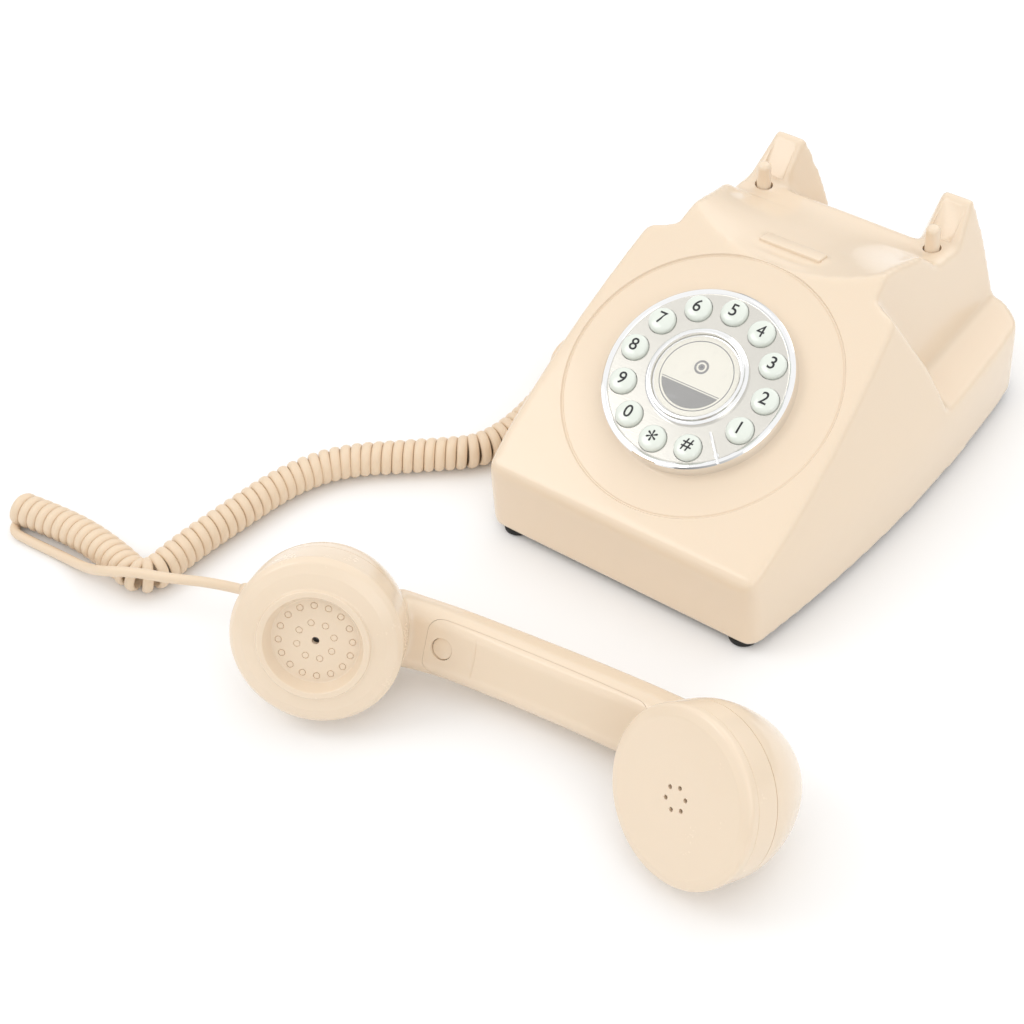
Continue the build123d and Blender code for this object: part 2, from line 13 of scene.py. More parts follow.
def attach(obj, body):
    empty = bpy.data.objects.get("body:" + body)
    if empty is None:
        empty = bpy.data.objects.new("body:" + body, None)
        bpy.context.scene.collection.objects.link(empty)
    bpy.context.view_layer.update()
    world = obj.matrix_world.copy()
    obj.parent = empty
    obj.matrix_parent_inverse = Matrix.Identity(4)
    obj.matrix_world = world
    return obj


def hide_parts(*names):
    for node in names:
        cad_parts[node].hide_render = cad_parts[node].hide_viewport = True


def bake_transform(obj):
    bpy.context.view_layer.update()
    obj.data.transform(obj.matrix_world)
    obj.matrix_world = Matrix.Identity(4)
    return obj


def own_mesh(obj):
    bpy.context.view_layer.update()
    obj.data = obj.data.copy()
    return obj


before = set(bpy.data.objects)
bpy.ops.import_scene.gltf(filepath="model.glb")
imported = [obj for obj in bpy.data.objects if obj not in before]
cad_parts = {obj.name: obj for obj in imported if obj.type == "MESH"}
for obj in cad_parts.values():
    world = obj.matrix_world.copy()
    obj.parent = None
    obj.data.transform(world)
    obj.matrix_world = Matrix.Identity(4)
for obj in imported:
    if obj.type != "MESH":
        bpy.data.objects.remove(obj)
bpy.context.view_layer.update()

LOG = logging.getLogger("landline_phone")
MM = 0.001
Point = tuple[float, float]
Route = Sequence[Sequence[float]]


# ---- shader maths --------------------------------------------------------------------------
class Signal:
    """One output socket, with Python's operators for the maths that is done on it."""

    def __init__(self, graph: "Graph", socket: bpy.types.NodeSocket) -> None:
        """Keep the socket and the graph that it belongs to."""
        self.graph = graph
        self.socket = socket

    def _maths(self, operation: str, first: Any, second: Any) -> "Signal":
        """Add one Math node on two values or signals."""
        made = self.graph.add("ShaderNodeMath", {"operation": operation}, {0: first, 1: second})
        return self.graph.out(made, "Value")

    def __add__(self, other: Any) -> "Signal":
        """Sum."""
        return self._maths("ADD", self, other)

    __radd__ = __add__

    def __sub__(self, other: Any) -> "Signal":
        """Difference."""
        return self._maths("SUBTRACT", self, other)

    def __rsub__(self, other: Any) -> "Signal":
        """Reflected difference, so that 1 - mask works."""
        return self._maths("SUBTRACT", other, self)

    def __mul__(self, other: Any) -> "Signal":
        """Product."""
        return self._maths("MULTIPLY", self, other)

    __rmul__ = __mul__

    def __truediv__(self, other: Any) -> "Signal":
        """Quotient."""
        return self._maths("DIVIDE", self, other)

    def __gt__(self, other: Any) -> "Signal":
        """One where this is greater, else zero."""
        return self._maths("GREATER_THAN", self, other)

    def __lt__(self, other: Any) -> "Signal":
        """One where this is less, else zero."""
        return self._maths("LESS_THAN", self, other)

    def apply(self, operation: str, other: Any = 0.0) -> "Signal":
        """Any other Math operation, such as POWER or ABSOLUTE."""
        return self._maths(operation, self, other)


class Graph:
    """The node tree of one material."""

    def __init__(self, name: str) -> None:
        """Start a material with only an output and a Principled shader.

        Args:
            name: its name.
        """
        self.material = bpy.data.materials.new(name)
        self.material.use_nodes = True
        self.tree = self.material.node_tree
        self.tree.nodes.clear()
        self.shader = self.add("ShaderNodeBsdfPrincipled")
        output = self.add("ShaderNodeOutputMaterial")
        self.tree.links.new(self.shader.outputs["BSDF"], output.inputs["Surface"])

    def add(self, kind: str, settings: dict[str, Any] | None = None,
            inputs: dict[Any, Any] | None = None) -> bpy.types.Node:
        """Add one node.

        Args:
            kind: the node's type.
            settings: the node's own properties, set before its sockets.
            inputs: socket name or number to a value, a Signal or a socket.

        Returns:
            The node.
        """
        node = self.tree.nodes.new(kind)
        for key, value in (settings or {}).items():
            if key == "stops":
                ramp = node.color_ramp
                while len(ramp.elements) < len(value):
                    ramp.elements.new(0.5)
                for element, (place, colour) in zip(ramp.elements, value):
                    element.position = place
                    element.color = colour
            else:
                setattr(node, key, value)
        for key, value in (inputs or {}).items():
            self.feed(node, key, value)
        return node

    def feed(self, node: bpy.types.Node, key: Any, value: Any) -> None:
        """Set one socket of a node to a value, or link a Signal to it.

        Args:
            node: the node that has the socket.
            key: the socket's name or number.
            value: a value or a Signal.
        """
        socket = node.inputs[key]
        if isinstance(value, Signal):
            self.tree.links.new(value.socket, socket)
        else:
            socket.default_value = value

    def out(self, node: bpy.types.Node, key: Any) -> Signal:
        """One output of a node as a Signal."""
        return Signal(self, node.outputs[key])

    def place(self) -> Signal:
        """Object coordinates, in metres."""
        return self.out(self.add("ShaderNodeTexCoord"), "Object")

    def noise(self, scale: float, detail: float = 3.0, rough: float = 0.5,
              vector: Signal | None = None) -> Signal:
        """Fractal noise on object coordinates, about 0.5."""
        inputs = {"Vector": vector or self.place(), "Scale": scale, "Detail": detail, "Roughness": rough}
        return self.out(self.add("ShaderNodeTexNoise", {}, inputs), "Fac")

    def blend(self, factor: Any, first: Any, second: Any) -> Signal:
        """Mix two colours by a factor."""
        made = self.add("ShaderNodeMix", {"data_type": "RGBA"}, {0: factor, 6: first, 7: second})
        return self.out(made, 2)

    def band(self, signal: Signal, low: float, high: float) -> Signal:
        """Rise smoothly from 0 at low to 1 at high."""
        inputs = {"Value": signal, "From Min": low, "From Max": high, "To Min": 0.0, "To Max": 1.0}
        made = self.add("ShaderNodeMapRange", {"interpolation_type": "SMOOTHSTEP"}, inputs)
        return self.out(made, "Result")

    def bump(self, height: Signal, strength: float, distance: float) -> Signal:
        """A bump normal from a height."""
        inputs = {"Height": height, "Strength": strength, "Distance": distance}
        return self.out(self.add("ShaderNodeBump", {}, inputs), "Normal")


Colour = tuple[float, float, float]


def rgba(colour: Colour, shade: float = 1.0) -> tuple[float, float, float, float]:
    """A colour with its alpha, made darker or lighter by a factor."""
    return (colour[0] * shade, colour[1] * shade, colour[2] * shade, 1.0)


@dataclass(frozen=True)
class Moulded:
    """A moulded plastic or rubber: faint flow colour, fine texture and handling marks."""

    name: str
    colour: Colour
    roughness: float = 0.25
    coat: float = 0.0
    grain: float = 0.04
    grain_scale: float = 900.0
    mottle: float = 0.03
    specular: float = 0.5
    subsurface: float = 0.0

    def make(self) -> bpy.types.Material:
        """Build the material.

        Returns:
            The material.
        """
        graph = Graph(self.name)
        flow = graph.noise(14.0, 4.0, 0.55)
        fine = graph.noise(self.grain_scale, 2.0)
        smudge = graph.noise(45.0, 5.0, 0.65)
        base = graph.blend(flow, rgba(self.colour, 1 - self.mottle), rgba(self.colour, 1 + self.mottle))
        graph.feed(graph.shader, "Base Color", base)
        rough = self.roughness * (0.92 + 0.16 * graph.band(smudge, 0.35, 0.7)) + 0.03 * fine
        graph.feed(graph.shader, "Roughness", rough)
        graph.feed(graph.shader, "Normal", graph.bump(fine + 0.1 * smudge, self.grain, 0.0004))
        graph.feed(graph.shader, "Coat Weight", self.coat)
        graph.feed(graph.shader, "Coat Roughness", 0.06)
        graph.feed(graph.shader, "Specular IOR Level", self.specular)
        if self.subsurface:
            graph.feed(graph.shader, "Subsurface Weight", self.subsurface)
            graph.feed(graph.shader, "Subsurface Radius", (0.004, 0.0025, 0.0015))
        return graph.material


@dataclass(frozen=True)
class Metal:
    """A metal surface: polished, brushed, cast or plated."""

    name: str
    colour: Colour
    roughness: float = 0.2
    brushed: float = 0.0
    pitting: float = 0.02
    tarnish: float = 0.05

    def make(self) -> bpy.types.Material:
        """Build the material.

        Returns:
            The material.
        """
        graph = Graph(self.name)
        cloud = graph.noise(60.0, 5.0, 0.6)
        pits = graph.noise(1400.0, 2.0)
        stretched = graph.add("ShaderNodeMapping", {}, {
            "Vector": graph.place(), "Scale": (60.0, 1500.0, 1500.0)})
        lines = graph.noise(1.0, 2.0, 0.6, graph.out(stretched, "Vector"))
        base = graph.blend(cloud, rgba(self.colour, 1 - self.tarnish),
                           rgba(self.colour, 1 + self.tarnish / 2))
        graph.feed(graph.shader, "Base Color", base)
        graph.feed(graph.shader, "Metallic", 1.0)
        rough = self.roughness * (0.75 + 0.5 * cloud) + self.brushed * 0.25 * lines
        graph.feed(graph.shader, "Roughness", rough)
        height = pits * self.pitting + lines * self.brushed
        graph.feed(graph.shader, "Normal", graph.bump(height, 0.5, 0.0003))
        return graph.material


@dataclass(frozen=True)
class Clear:
    """A clear plastic, thin enough to be shown by its transparency."""

    name: str
    colour: Colour = (0.97, 0.98, 0.98)
    alpha: float = 0.16

    def make(self) -> bpy.types.Material:
        """Build the material.

        Returns:
            The material.
        """
        graph = Graph(self.name)
        dust = graph.noise(120.0, 6.0, 0.7)
        graph.feed(graph.shader, "Base Color", rgba(self.colour))
        graph.feed(graph.shader, "Roughness", 0.03 + 0.08 * graph.band(dust, 0.45, 0.8))
        graph.feed(graph.shader, "Alpha", self.alpha + 0.06 * graph.band(dust, 0.5, 0.8))
        graph.feed(graph.shader, "Specular IOR Level", 0.8)
        return graph.material


@dataclass(frozen=True)
class CircuitBoard:
    """A lacquered board with faint tracks."""

    name: str = "circuit board"
    colour: Colour = (0.02, 0.16, 0.07)

    def make(self) -> bpy.types.Material:
        """Build the material.

        Returns:
            The material.
        """
        graph = Graph(self.name)
        cells = graph.add("ShaderNodeTexVoronoi", {"distance": "CHEBYCHEV", "feature": "DISTANCE_TO_EDGE"},
                          {"Vector": graph.place(), "Scale": 260.0})
        track = graph.out(cells, "Distance") < 0.06
        base = graph.blend(track, rgba(self.colour), rgba(self.colour, 1.9))
        graph.feed(graph.shader, "Base Color", base)
        graph.feed(graph.shader, "Roughness", 0.3 + 0.2 * graph.noise(200.0))
        graph.feed(graph.shader, "Normal", graph.bump(track, 0.3, 0.0001))
        return graph.material


@dataclass(frozen=True)
class PrintedCard:
    """The centre card: paper with a ring line, a plain grey foot and a bull's-eye, and no words."""

    name: str = "printed card"
    paper: Colour = (0.80, 0.77, 0.68)
    ink: Colour = (0.16, 0.16, 0.17)

    def make(self) -> bpy.types.Material:
        """Build the material from the card's own UV map, which holds the dial's u and v in metres.

        Returns:
            The material.
        """
        graph = Graph(self.name)
        parts = graph.add("ShaderNodeSeparateXYZ", {}, {
            "Vector": graph.out(graph.add("ShaderNodeUVMap"), "UV")})
        u = graph.out(parts, "X")
        v = graph.out(parts, "Y")
        radius = (u * u + v * v).apply("SQRT")
        eye = (u * u + (v - 4.2 * MM) * (v - 4.2 * MM)).apply("SQRT")
        line = (1 - graph.band((radius - 15.3 * MM).apply("ABSOLUTE"), 0.12 * MM, 0.25 * MM))
        foot = (1 - graph.band(v, -5.7 * MM, -5.4 * MM)) * (1 - graph.band(radius, 14.2 * MM, 14.4 * MM))
        foot_line = 1 - graph.band((v + 4.9 * MM).apply("ABSOLUTE"), 0.1 * MM, 0.2 * MM)
        foot_line = foot_line * (1 - graph.band(radius, 14.2 * MM, 14.4 * MM))
        disc = 1 - graph.band(eye, 3.0 * MM, 3.15 * MM)
        hole = graph.band((eye - 1.75 * MM).apply("ABSOLUTE"), 0.3 * MM, 0.45 * MM)
        pupil = 1 - graph.band(eye, 0.5 * MM, 0.65 * MM)
        mark = disc * hole * 0.85
        ink = line.apply("MAXIMUM", foot * 0.8).apply("MAXIMUM", foot_line).apply("MAXIMUM", mark)
        ink = ink.apply("MAXIMUM", pupil)
        fibre = graph.noise(2500.0, 4.0)
        sheet = graph.blend(fibre, rgba(self.paper, 0.96), rgba(self.paper, 1.04))
        graph.feed(graph.shader, "Base Color", graph.blend(ink, sheet, rgba(self.ink)))
        graph.feed(graph.shader, "Roughness", 0.55 + 0.2 * fibre)
        graph.feed(graph.shader, "Normal", graph.bump(fibre, 0.1, 0.0001))
        return graph.material


class Finish(Enum):
    """Every finish on the phone, by the record's material slot."""

    CREAM = Moulded("cream plastic", (0.80, 0.655, 0.495), 0.20, 0.35, 0.03, 1100.0, 0.012, subsurface=0.04)
    CREAM_CAP = Moulded("cream plastic caps", (0.81, 0.665, 0.505), 0.24, 0.25, 0.03, 1100.0, 0.012,
                         subsurface=0.04)
    CORD = Moulded("cord vinyl", (0.78, 0.62, 0.45), 0.38, 0.0, 0.05, 800.0, 0.02, subsurface=0.05)
    BLACK = Moulded("black plastic", (0.022, 0.022, 0.024), 0.42, 0.0, 0.12, 500.0, 0.05)
    RUBBER = Moulded("black rubber", (0.016, 0.016, 0.016), 0.62, 0.0, 0.25, 700.0, 0.08, 0.35)
    KEY = Moulded("pale key plastic", (0.74, 0.78, 0.71), 0.10, 0.8, 0.02, 1200.0, 0.01)
    INK = Moulded("key figures", (0.012, 0.012, 0.014), 0.35, 0.0, 0.02, 1200.0, 0.02)
    SILICONE = Moulded("grey silicone", (0.30, 0.31, 0.31), 0.55, 0.0, 0.1, 900.0, 0.03)
    CHROME = Metal("chrome plate", (0.87, 0.87, 0.87), 0.05, 0.0, 0.01, 0.02)
    SILVER = Metal("satin dial plate", (0.66, 0.64, 0.59), 0.20, 0.08, 0.02, 0.02)
    ZINC = Metal("zinc screw", (0.62, 0.62, 0.60), 0.28, 0.15, 0.05, 0.1)
    SPRING = Metal("spring steel", (0.55, 0.55, 0.56), 0.22, 0.1, 0.03, 0.08)
    IRON = Metal("iron weight", (0.20, 0.19, 0.18), 0.55, 0.0, 0.5, 0.2)
    CAN = Metal("metal can", (0.60, 0.61, 0.62), 0.30, 0.2, 0.05, 0.08)
    CLEAR = Clear("clear plastic")
    LENS = Clear("lens plastic", alpha=0.05)
    BOARD = CircuitBoard()
    CARD = PrintedCard()

    def material(self) -> bpy.types.Material:
        """The finish's material, made the first time it is asked for."""
        found = bpy.data.materials.get(self.value.name)
        return found or self.value.make()


# ---- mesh helpers --------------------------------------------------------------------------
class Shape:
    """Small mesh operations shared by every sub-assembly. Sizes are millimetres."""

    @staticmethod
    def spun(outline: Sequence[Point], steps: int = 96, closed: bool = False) -> bmesh.types.BMesh:
        """Turn an outline of (radius, height) points about the vertical axis.

        Args:
            outline: the points, in order; the first and last may lie on the axis.
            steps: number of steps round the full turn.
            closed: join the last point to the first, for a ring.

        Returns:
            The mesh, in millimetres.
        """
        made = bmesh.new()
        verts = [made.verts.new((radius, 0.0, height)) for radius, height in outline]
        edges = [made.edges.new(pair) for pair in zip(verts, verts[1:])]
        if closed:
            edges.append(made.edges.new((verts[-1], verts[0])))
        bmesh.ops.spin(made, geom=verts + edges, axis=(0, 0, 1), cent=(0, 0, 0), angle=tau, steps=steps,
                       use_merge=True, use_duplicate=False)
        bmesh.ops.remove_doubles(made, verts=made.verts, dist=1e-4)
        bmesh.ops.recalc_face_normals(made, faces=made.faces)
        return made

    @staticmethod
    def rounded(corners: Sequence[tuple[float, float, float]], steps: int = 5) -> list[Point]:
        """Round the corners of an open outline.

        Args:
            corners: (x, y, radius) points; the first and last stay sharp.
            steps: number of steps in each round.

        Returns:
            The outline's points.
        """
        points: list[Point] = [(corners[0][0], corners[0][1])]
        for before, here, after in zip(corners, corners[1:], corners[2:]):
            at = Vector(here[:2])
            one = (Vector(before[:2]) - at).normalized()
            two = (Vector(after[:2]) - at).normalized()
            if here[2] <= 0 or abs(one.dot(two)) > 0.9999:
                points.append((at.x, at.y))
                continue
            half = one.angle(two) / 2
            reach = here[2] / abs(sin(half)) * cos(half)
            start = at + one * reach
            end = at + two * reach
            for step in range(steps + 1):
                t = step / steps
                spot = start * (1 - t) ** 2 + at * 2 * t * (1 - t) + end * t ** 2
                points.append((spot.x, spot.y))
        points.append((corners[-1][0], corners[-1][1]))
        return points

    @staticmethod
    def prism(outline: Sequence[Point], low: float, high: float) -> bmesh.types.BMesh:
        """An upright prism on a plan outline.

        Args:
            outline: the plan's points, in order.
            low: the height of its underside.
            high: the height of its top.

        Returns:
            The mesh, in millimetres.
        """
        made = bmesh.new()
        face = made.faces.new([made.verts.new((x, y, low)) for x, y in outline])
        grown = bmesh.ops.extrude_face_region(made, geom=[face])["geom"]
        moved = [item for item in grown if isinstance(item, bmesh.types.BMVert)]
        bmesh.ops.translate(made, verts=moved, vec=(0, 0, high - low))
        bmesh.ops.recalc_face_normals(made, faces=made.faces)
        return made

    @staticmethod
    def box(low: Sequence[float], high: Sequence[float], bevel: float = 0.0,
            segments: int = 3) -> bmesh.types.BMesh:
        """A box between two corners, with its edges rounded.

        Args:
            low: its lowest corner.
            high: its highest corner.
            bevel: size of the rounded edges, or 0 for none.
            segments: steps in each round.

        Returns:
            The mesh, in millimetres.
        """
        made = bmesh.new()
        size = [b - a for a, b in zip(low, high)]
        middle = [(a + b) / 2 for a, b in zip(low, high)]
        bmesh.ops.create_cube(made, size=1.0,
                              matrix=Matrix.Translation(middle) @ Matrix.Diagonal((*size, 1.0)))
        if bevel:
            bmesh.ops.bevel(made, geom=made.edges[:], offset=bevel, segments=segments, profile=0.5,
                            affect="EDGES", material=-1, clamp_overlap=True)
        return made

    @staticmethod
    def placed(mesh: bmesh.types.BMesh, *matrices: Matrix) -> bmesh.types.BMesh:
        """Move a mesh by the product of matrices, in millimetres.

        Args:
            mesh: the mesh.
            matrices: the moves, multiplied in order.

        Returns:
            The same mesh.
        """
        total = Matrix.Identity(4)
        for matrix in matrices:
            total = total @ matrix
        bmesh.ops.transform(mesh, matrix=total, verts=mesh.verts)
        return mesh

    @staticmethod
    def in_metres(lay: Matrix) -> Matrix:
        """A move in millimetres, as the same move in metres."""
        return Matrix.Diagonal((MM, MM, MM, 1)) @ lay @ Matrix.Diagonal((1 / MM, 1 / MM, 1 / MM, 1))

    @staticmethod
    def joined(*meshes: bmesh.types.BMesh) -> bmesh.types.BMesh:
        """Put several meshes into the first one.

        Args:
            meshes: the meshes; all but the first are freed.

        Returns:
            The first mesh.
        """
        for other in meshes[1:]:
            spare = bpy.data.meshes.new("spare")
            other.to_mesh(spare)
            other.free()
            meshes[0].from_mesh(spare)
            bpy.data.meshes.remove(spare)
        return meshes[0]

    @staticmethod
    def object(name: str, mesh: bmesh.types.BMesh, finish: Finish | None = None, sharp: float = 35.0,
               scale: float = MM) -> bpy.types.Object:
        """Make an object from a mesh in millimetres.

        Args:
            name: the piece's name.
            mesh: the mesh, which is freed.
            finish: its finish, if it has one.
            sharp: edges that turn by more than this many degrees stay crisp.
            scale: metres to one unit of the mesh.

        Returns:
            The object, at the origin, unturned and unscaled.
        """
        bmesh.ops.scale(mesh, vec=(scale, scale, scale), verts=mesh.verts)
        data = bpy.data.meshes.new(name)
        mesh.to_mesh(data)
        mesh.free()
        made = bpy.data.objects.new(name, data)
        bpy.context.scene.collection.objects.link(made)
        Shape.shade(made, sharp)
        if finish:
            data.materials.append(finish.material())
        return made

    @staticmethod
    def shade(made: bpy.types.Object, sharp: float = 35.0) -> None:
        """Shade smooth, with edges that turn by more than an angle kept crisp."""
        data = made.data
        data.shade_smooth()
        data.set_sharp_from_angle(angle=radians(sharp))

    @staticmethod
    def cad_copy(node: str, name: str) -> bpy.types.Object:
        """A merged copy of a CAD node's mesh.

        Args:
            node: the CAD node's name.
            name: its name.

        Returns:
            The new object.
        """
        mesh = bmesh.new()
        mesh.from_mesh(bpy.data.objects[node].data)
        bmesh.ops.remove_doubles(mesh, verts=mesh.verts, dist=2e-6)
        return Shape.object(name, mesh, scale=1.0)

    @staticmethod
    def settled(made: bpy.types.Object) -> bpy.types.Object:
        """Replace an object's mesh by what its modifiers make of it.

        Args:
            made: the piece.

        Returns:
            The object.
        """
        bpy.context.view_layer.update()
        graph = bpy.context.evaluated_depsgraph_get()
        result = bpy.data.meshes.new_from_object(made.evaluated_get(graph), depsgraph=graph)
        old = made.data
        made.modifiers.clear()
        made.data = result
        result.name = made.name
        bpy.data.meshes.remove(old)
        return made

    @staticmethod
    def carve(made: bpy.types.Object, cutters: Iterable[bmesh.types.BMesh], operation: str = "DIFFERENCE",
              solver: str = "EXACT") -> bpy.types.Object:
        """Cut meshes in millimetres out of an object, or add them to it.

        Args:
            made: the piece.
            cutters: the meshes, which are freed.
            operation: the Boolean's operation.
            solver: the Boolean's solver.

        Returns:
            The object.
        """
        for cutter in cutters:
            tool = Shape.object("cutter", cutter)
            change = made.modifiers.new("cut", "BOOLEAN")
            change.operation = operation
            change.solver = solver
            change.object = tool
            Shape.settled(made)
            data = tool.data
            bpy.data.objects.remove(tool)
            bpy.data.meshes.remove(data)
        return made

    @staticmethod
    def softened(made: bpy.types.Object, cell: float, rounds: int, factor: float = 0.5) -> bpy.types.Object:
        """Remesh an object to one even skin and round its edges, keeping only its outermost skin.

        Args:
            made: the piece.
            cell: size of the remesh cells, in millimetres.
            rounds: number of smoothing rounds.
            factor: strength of each round.

        Returns:
            The object.
        """
        skin = made.modifiers.new("skin", "REMESH")
        skin.mode = "VOXEL"
        skin.voxel_size = cell * MM
        skin.adaptivity = 0.0
        Shape.settled(made)
        mesh = bmesh.new()
        mesh.from_mesh(made.data)
        Shape.keep_largest(mesh)
        mesh.to_mesh(made.data)
        mesh.free()
        relax = made.modifiers.new("relax", "SMOOTH")
        relax.factor = factor
        relax.iterations = rounds
        return Shape.settled(made)

    @staticmethod
    def keep_largest(mesh: bmesh.types.BMesh) -> None:
        """Delete every loose part except the one with the most vertices.

        Args:
            mesh: the mesh.
        """
        unseen = set(mesh.verts)
        parts: list[list[bmesh.types.BMVert]] = []
        while unseen:
            stack = [unseen.pop()]
            part = []
            while stack:
                vert = stack.pop()
                part.append(vert)
                for edge in vert.link_edges:
                    other = edge.other_vert(vert)
                    if other in unseen:
                        unseen.discard(other)
                        stack.append(other)
            parts.append(part)
        parts.sort(key=len)
        for part in parts[:-1]:
            bmesh.ops.delete(mesh, geom=part, context="VERTS")


def dress(node: str, finish: Finish) -> None:
    """Give a CAD node that stays as it is its finish.

    Args:
        node: the CAD node's name.
        finish: the finish to give it.
    """
    made = bpy.data.objects[node]
    made.data.materials.clear()
    made.data.materials.append(finish.material())


def mount(made: bpy.types.Object, body: str, slot: str, *nodes: str) -> bpy.types.Object:
    """Fix a finished piece to its body, in place of its CAD nodes.

    Args:
        made: the piece.
        body: the body that it rides on.
        slot: the record's material slot; not used.
        nodes: the CAD nodes that it replaces.

    Returns:
        The piece.
    """
    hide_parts(*nodes)
    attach(made, body)
    LOG.info("%s: %d faces", made.name, len(made.data.polygons))
    return made


# ---- case ----------------------------------------------------------------------------------
@dataclass
class Dial:
    """The round dial on the case's tilted face: u to the right, v up the face, h out of it."""

    tilt: float = 24.8
    centre: tuple[float, float, float] = (0.0, -31.0, 66.8)
    plate_r: float = 40.0
    key_circle_r: float = 30.7
    key_r: float = 5.7
    hole_r: float = 5.95
    first_key: float = -25.4
    key_pitch: float = 29.0
    stop_angle: float = -47.0
    centre_r: float = 21.3
    lens_r: float = 18.0
    figures: tuple[str, ...] = ("1", "2", "3", "4", "5", "6", "7", "8", "9", "0", "*", "#")
    names: tuple[str, ...] = field(default=("key_1", "key_2", "key_3", "key_4", "key_5", "key_6", "key_7",
                                            "key_8", "key_9", "key_0", "key_star", "key_hash"))

    def frame(self) -> Matrix:
        """The dial's own frame, in millimetres."""
        return Matrix.Translation(self.centre) @ Matrix.Rotation(radians(self.tilt), 4, "X")

    def key_frame(self, number: int) -> Matrix:
        """A key's frame, upright on the dial."""
        angle = radians(self.first_key + number * self.key_pitch)
        spot = (self.key_circle_r * cos(angle), self.key_circle_r * sin(angle), 0)
        return self.frame() @ Matrix.Translation(spot)

    def build(self) -> None:
        """Make every piece of the dial."""
        self.plate()
        self.rim_and_centre()
        self.card_and_lens()
        for number, name in enumerate(self.names):
            self.key(number, name)
        self.stop()

    def plate(self) -> None:
        """The silver plate with a bright rolled rim and twelve holes."""
        outline = [(0, 3.7), (38.2, 3.7), (38.2, -0.6), (self.plate_r, -0.6), (self.plate_r, 4.3),
                   (39.8, 5.2), (39.2, 5.75),
                   (38.4, 5.85), (37.7, 5.6), (37.3, 5.3), (36.9, 5.25), (36.75, 5.25), (0, 5.25)]
        made = Shape.object("dial_disc", Shape.placed(Shape.spun(outline, 160), self.frame()),
                            Finish.SILVER, 25)
        cutters = [Shape.placed(Shape.spun([(0, 2), (self.hole_r, 2), (self.hole_r, 8), (0, 8)], 48),
                                self.key_frame(number)) for number in range(12)]
        Shape.carve(made, [Shape.joined(*cutters)])
        Shape.shade(made, 25)
        made.data.materials.append(Finish.CHROME.material())
        inverse = self.frame().inverted()
        for face in made.data.polygons:
            spot = inverse @ (face.center / MM)
            out = (inverse.to_3x3() @ face.normal).normalized()
            in_hole = spot.z < 5.2 and spot.z > 3.75 and abs(out.z) < 0.5
            if hypot(spot.x, spot.y) > 37.2 or in_hole:
                face.material_index = 1
        mount(made, "base", "chrome_plate", "dial_plate")

    def rim_and_centre(self) -> None:
        """The stepped bright ring round the card."""
        outline = Shape.rounded([
            (5.0, 5.4, 0), (self.centre_r, 5.2, 0), (self.centre_r, 6.5, 0.35), (20.5, 6.9, 0.3),
            (20.0, 6.9, 0.3),
            (19.75, 8.1, 0.4), (18.5, 8.3, 0.35), (18.15, 6.3, 0.2), (17.0, 6.2, 0), (5.0, 6.2, 0)], 4)
        mesh = Shape.placed(Shape.spun(outline, 144, closed=True), self.frame())
        made = Shape.object("dial_centre_ring", mesh, Finish.CHROME, 50)
        mount(made, "base", "chrome_plate", "centre_ring")

    def card_and_lens(self) -> None:
        """The printed card and the clear lens over it."""
        mesh = Shape.spun([(0, 6.25), (17.6, 6.25), (17.6, 6.65), (0, 6.65)], 96)
        layer = mesh.loops.layers.uv.new("card")
        for face in mesh.faces:
            for loop in face.loops:
                loop[layer].uv = (loop.vert.co.x * MM, loop.vert.co.y * MM)
        made = Shape.object("dial_card", Shape.placed(mesh, self.frame()), Finish.CARD, 30)
        mount(made, "base", "printed_card", "centre_card")
        outline = Shape.rounded([(0, 6.75, 0), (self.lens_r, 6.75, 0.15), (self.lens_r, 7.5, 0.4),
                                 (0, 8.0, 0)], 4)
        made = Shape.object("dial_lens", Shape.placed(Shape.spun(outline, 96), self.frame()), Finish.LENS, 40)
        mount(made, "base", "clear_plastic", "centre_lens")

    def key(self, number: int, name: str) -> None:
        """One domed key with its figure.

        Args:
            number: the key's place round the dial.
            name: its name.
        """
        outline = Shape.rounded([
            (0, -2.0, 0), (2.2, -2.0, 0.3), (2.2, 1.0, 0), (self.key_r, 1.0, 0), (self.key_r, 2.2, 0),
            (6.7, 2.2, 0.15),
            (6.7, 3.3, 0.15), (self.key_r, 3.3, 0), (self.key_r, 5.9, 0)], 4)
        outline += [(5.62, 6.35), (5.35, 6.85), (4.8, 7.25), (3.9, 7.52), (2.6, 7.67), (1.2, 7.7), (0, 7.7)]
        made = Shape.object(name + "_cap", Shape.placed(Shape.spun(outline, 48),
                            self.key_frame(number)), Finish.KEY, 40)
        figure = self.figure(self.figures[number], self.key_frame(number))
        made.data.materials.append(Finish.INK.material())
        mesh = bmesh.new()
        mesh.from_mesh(made.data)
        count = len(mesh.faces)
        mesh.from_mesh(figure)
        mesh.faces.ensure_lookup_table()
        for face in mesh.faces[count:]:
            face.material_index = 1
        mesh.to_mesh(made.data)
        mesh.free()
        bpy.data.meshes.remove(figure)
        mount(made, name, "pale_key_plastic", name)

